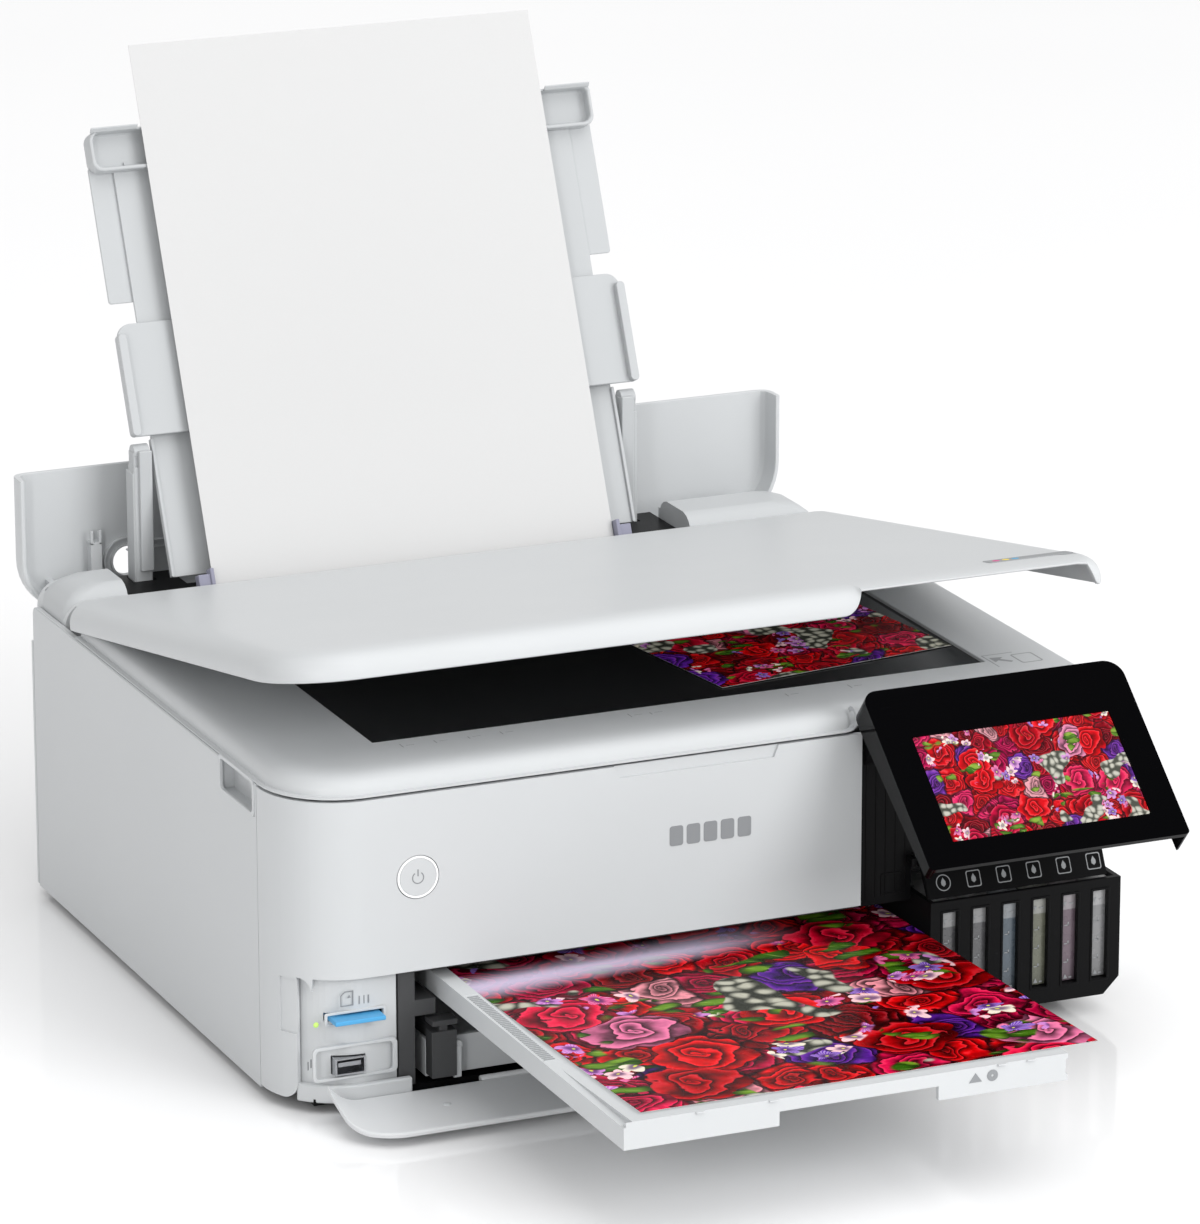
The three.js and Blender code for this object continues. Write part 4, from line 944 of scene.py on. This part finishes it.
def make_flap():
    left, right, reach, radius = -186.6, 102.4, 50, 24
    rings = []
    stations = [left + 30 * (k / 16) ** 1.5 for k in range(17)] + [-120, -60, 0, 60, right]
    for x in stations:
        inward = x - left
        curl = 11.0 * max(0.0, 1 - inward / 17) ** 2
        set_in = radius - math.sqrt(max(0.0, radius ** 2 - (radius - min(radius, inward + 0.5)) ** 2))
        front = -reach + set_in
        low, high = -3.2 + curl, -0.8 + curl
        section = [(-3, high), (-14, high), (-26, high), (front + 0.8, high), (front + 0.2, high - 0.5),
                   (front, high - 1.2), (front + 0.3, low), (-26, low), (-14, low), (-3, low)]
        rings.append([(x, min(y, -3 - 0.5 * curl), z - curl * min(1.0, max(0.0, -3 - y) / 40))
                      for y, z in section])
    hinge = [rod("x", 0, -1.5, 2, -110, right - 12, 14)]
    hinge += [block(x, x + 6, -5, 0, -3.1, -1) for x in (-110, right - 18)]
    shape = merged(loft(rings), *hinge)
    # the flap wears the lightened white plastic: painted light
    plastic("front_flap", shape, "flap", WHITE_WITH_PAINTED_LIGHT, place=FLAP, edge=0.3)
    plastic("flap_catch", dome("z", -136, -24, 2.0, -0.85, 0.7), "flap", place=FLAP, edge=0)


def make_card_details():
    x0, x1, z0, z1 = -182.6, -156, 43, 47
    surround = tube_ring("y", rounded(x0 - 1.4, z0 - 1.2, x1 + 1.4, z1 + 1.2, 1),
                         rounded(x0, z0, x1, z1, 0.3), 3.7, 4.6)
    pocket = tube_ring("y", rounded(-190, 16.4, -149.6, 32.6, 2.5), rounded(-188.6, 17.6, -151.8, 31.2, 2),
                       3.3, 5.0)
    plastic("usb_pocket_rim", pocket, "printer_body", edge=0.2)
    plastic("card_slot_rim", surround, "printer_body", edge=0.25)
    piece("card_lamp", dome("y", -187.2, 42.8, 1.3, 6.3, -0.9), LED_GREEN, "printer_body", edge=0)
    outline = [(-176.4, 50.4), (-170.2, 50.4), (-170.2, 57.4), (-174.4, 57.4), (-176.4, 55.6)]
    inset = [(-175.9, 50.9), (-170.7, 50.9), (-170.7, 56.9), (-174.2, 56.9), (-175.9, 55.4)]
    arrow = prism("y", [(-173, 54.2), (-171.4, 54.2), (-172.2, 55.6)], 3.9, 4.05)
    card = merged(tube_ring("y", outline, inset, 3.9, 4.05), arrow)
    bars = [block(x, x + 0.5, 3.9, 4.05, 50.6, 54.4) for x in (-167.6, -165.4, -163.2)]
    mark("card_icon", merged(card, *bars), MARK_GREY, "printer_body")
    dashes = [block(-191.5 + 1.4 * k, -190.9 + 1.4 * k, 6.2, 6.4, 22 + k, 26 + k) for k in range(3)]
    mark("usb_icon", merged(*dashes), MARK_GREY, "printer_body")
    lever = [rod("y", -121, 24.5, 2.6, 2.5, 5.5), prism("x", rounded(2.2, 9.3, 5.2, 25, 1), -122.8, -119.2)]
    plastic("guide_stop", merged(*lever), "cassette_fence", edge=0.3)


# ---- tanks and black front ----

def make_tank_details():
    y, front = -14.9, -14.6
    for index in range(TANKS):
        left = WINDOW_LEFT + index * WINDOW_PITCH
        marks = [block(left + 2.2, left + 4.6, y, front, z, z + 0.45) for z in (27, 36, 45)]
        marks += [block(left + 4.0, left + 4.6, y, front, z, z + 1.6) for z in (27, 36, 45)]
        marks += [prism("y", [(left + 1.4, 56.6), (left + 3.4, 56.6), (left + 2.4, 54.6)], y, front),
                  block(left + 4.6, left + 6.8, y, front, 55.4, 56.0),
                  prism("y", [(left + 2.0, 19.2), (left + 4.2, 19.2), (left + 3.1, 21.4)], y, front),
                  block(left + 5, left + 6.4, y, front, 19.3, 20.0)]
        piece(f"tank_marks_{index + 1}", merged(*marks), PALE_MARK, "printer_body", edge=0)
    for index in range(TANKS):
        left = WINDOW_LEFT + index * WINDOW_PITCH
        right = left + WINDOW_WIDTH
        outer = rounded(left - 1.1, 16.8, right + 1.1, 62.1, 0.8)
        rim = tube_ring("y", outer, rounded(left, 17.9, right, 61, 0.4), -18.0, -17.4)
        piece(f"window_rim_{index + 1}", rim, BLACK, "printer_body", slot="black_plastic", edge=0.2)


def strip_point(x, along):
    """A point on the sloping face of the tank strip; along is 0 at its lower edge and 1 at its upper one."""
    low, high = Vector((-12.7, -15)), Vector((-4.6, 1.5))
    out = Vector((-0.9, 0.44)) * 0.06
    spot = low + (high - low) * along + out
    return (x, spot.x, spot.y)


def make_strip_icons():
    """A framed drop over each tank: the first frame is round, the others are square."""
    middle, half_height = 0.38, 0.21
    drop = [(0, 0.62), (0.32, 0.1), (0.30, -0.25), (0, -0.48), (-0.30, -0.25), (-0.32, 0.1)]
    icons = []
    for index in range(TANKS):
        centre = WINDOW_LEFT + 3.2 + index * WINDOW_PITCH
        outline, half_width = rounded(-1, -1, 1, 1, 0.28, 6), 3.6
        if index == 0:
            outline, half_width = circle(0, 0, 1, 40), 3.708
        edges = []
        for scale in (1.0, 0.88):
            across, up = half_width * scale, half_height * scale
            edges.append([strip_point(centre + across * u, middle + up * v) for u, v in outline])
        icons.append(loft(edges, False, False))
        points = [strip_point(centre + 3.6 * u, middle + half_height * v) for u, v in drop]
        icons.append((points, [list(range(len(drop)))]))
    piece("tank_strip_icons", merged(*icons), PALE_MARK, "tank_lid", place=STRIP, edge=0)


def make_housing_details():
    lines = [block(x, x + 0.5, 1.7, 2.1, 66, 140) for x in (80, 85, 90, 95, 100)]
    frame_ring = tube_ring("y", rounded(88, 66.5, 99, 77, 0.8), rounded(88.8, 67.3, 98.2, 76.2, 0.6), 1.6,
                           2.1)
    piece("housing_lines", merged(*lines, frame_ring), BLACK, "printer_body", slot="black_plastic", edge=0.1)


def make_screen():
    face = -17.6 - PANEL_PIVOT[0]
    top = LID_TOP + 0.4 - PANEL_PIVOT[1]
    rings = []
    for inset, y in ((0, face + 0.9), (0, face + 0.25), (0.2, face + 0.1)):
        edges = (87.4 + inset, top - 82.1 + inset, 186.1 - inset, top - 26.7 - inset)
        rings.append([(x, y, z) for x, z in rounded(*edges, 0.4, 3)])
    piece("panel_screen", loft(rings), SCREEN_PICTURE, "panel", place=PANEL, slot="screen",
          edge=0)


# ---- carried-over CAD nodes ----

DRESSED = {
    WHITE: ("left_side_panel right_side_panel rear_panel rear_access_cover rear_frame card_panel "
            "paper_cassette output_tray"),
    GREY: "mouth_frame cassette_guide scan_carriage",
    BLACK: ("base_tray tank_housing tank_cover front_housing feed_base platen print_carriage "
            "power_supply"),
    GLOSS: "control_panel",
    RUBBER: ("foot_front_left foot_front_right foot_rear_left foot_rear_right feed_roller eject_roller "
             "timing_belt"),
    STEEL: "usb_port carriage_rail belt_pulley scanner_hinge_left scanner_hinge_right",
    BRASS: "drive_pinion",
    BLUE: "memory_card",
    BOARD: "control_board",
    FOAM: "lid_pad",
    DARK_GLASS: "scanner_glass",
}
EDGES = {"control_panel": 0.8, "tank_housing": 0.5, "left_side_panel": 0.7, "right_side_panel": 0.7,
         "rear_frame": 0.8, "scanner_glass": 0.1, "drive_pinion": 0, "feed_roller": 0, "usb_port": 0.1,
         "memory_card": 0.5, "control_board": 0.1, "timing_belt": 0.1, "output_tray": 0.5,
         "tank_cover": 0.5}


def dress_cad_nodes():
    for material, nodes in DRESSED.items():
        for node in nodes.split():
            dress(node, material, EDGES.get(node, 0.35))
    for index, ink in enumerate(INKS):
        dress(f"ink_tank_{index + 1}", ink, 0.3)


# ---- stage ----

def make_floor():
    material, g = new_graph("floor")
    place = g.place()
    tone = g.mix(g.noise(place, 3, 2), (0.93, 0.93, 0.935), (0.95, 0.95, 0.955))
    g.shader(Base_Color=tone, Roughness=g.smooth(g.noise(place, 5, 2), 0.3, 0.7, 0.07, 0.11))
    mesh = bpy.data.meshes.new("floor")
    size = 30
    mesh.from_pydata([(-size, -size, 0), (size, -size, 0), (size, size, 0), (-size, size, 0)], [],
                     [(0, 1, 2, 3)])
    mesh.materials.append(material)
    floor = bpy.data.objects.new("floor", mesh)
    bpy.context.scene.collection.objects.link(floor)


def area_light(name, place, target, size, power, glossy=True):
    data = bpy.data.lights.new(name, "AREA")
    data.shape = "RECTANGLE"
    data.size, data.size_y = size
    data.energy = power
    light = bpy.data.objects.new(name, data)
    light.location = place
    light.rotation_euler = (Vector(target) - Vector(place)).to_track_quat("-Z", "Y").to_euler()
    light.visible_glossy = glossy
    bpy.context.scene.collection.objects.link(light)


def make_light():
    world = bpy.data.worlds.new("studio")
    world.use_nodes = True
    g = Graph(world.node_tree)
    height = g.add("ShaderNodeSeparateXYZ",
                   {0: g.add("ShaderNodeTexCoord").outputs["Generated"]}).outputs["Z"]
    seen = g.ramp(g.smooth(height, 0.3, 0.75), [(0, (1, 1, 1)), (1, (0.12, 0.12, 0.125))])
    path = g.add("ShaderNodeLightPath")
    tone = g.mix(path.outputs["Is Glossy Ray"], (1, 1, 1), seen)
    strength = g.smooth(path.outputs["Is Camera Ray"], 0, 1, 0.74, 1.0)
    background = g.add("ShaderNodeBackground", {"Color": tone, "Strength": strength}).outputs[0]
    g.add("ShaderNodeOutputWorld", {"Surface": background})
    bpy.context.scene.world = world
    area_light("key", (1.3, -2.5, 1.3), (0, 0, 0.1), (1.6, 1.2), 44, glossy=False)
    area_light("edge", (-2.0, -2.4, 0.9), (-0.1, 0, 0.1), (0.35, 1.6), 15)
    sun = bpy.data.lights.new("overhead", "SUN")
    sun.energy = 1.2
    sun.angle = math.radians(60)
    overhead = bpy.data.objects.new("overhead", sun)
    overhead.rotation_euler = (math.radians(20), math.radians(12), 0)
    overhead.visible_glossy = False
    bpy.context.scene.collection.objects.link(overhead)
    bpy.context.scene.view_settings.view_transform = "Standard"


# ---- assembly ----

make_camera()
make_light()
make_floor()
dress_cad_nodes()
make_lid()
make_scanner()
make_front_panel()
make_power_button()
make_feed_cover()
make_shoulders()
make_casing_details()
make_support()
bowed_sheet("rear_sheet", FEED_CENTRE - A4_WIDTH / 2, FEED_CENTRE + A4_WIDTH / 2, -34.2, 262.8, 0.25, SHEET,
            "loaded_sheet", SLOPE, "plain_paper")
printed_sheet("tray_print", 216, 279, 0.3, TRAY_PICTURE, "printed_sheet",
              PRINT @ Matrix.Translation((-0.1185, 0, 0)))
snapshot = BODY @ Matrix.Translation((0.092, 0.114,
                                      (BEZEL_Z - 1.3) * MM)) @ Matrix.Rotation(math.radians(8), 4, "Z")
printed_sheet("glass_print", 127, 89, 0, GLASS_PICTURE, "scanner_unit",
              snapshot @ Matrix.Translation((-0.0635, -0.0445, 0)))
make_tray_details()
make_flap()
make_card_details()
make_tank_details()
make_strip_icons()
make_housing_details()
make_screen()
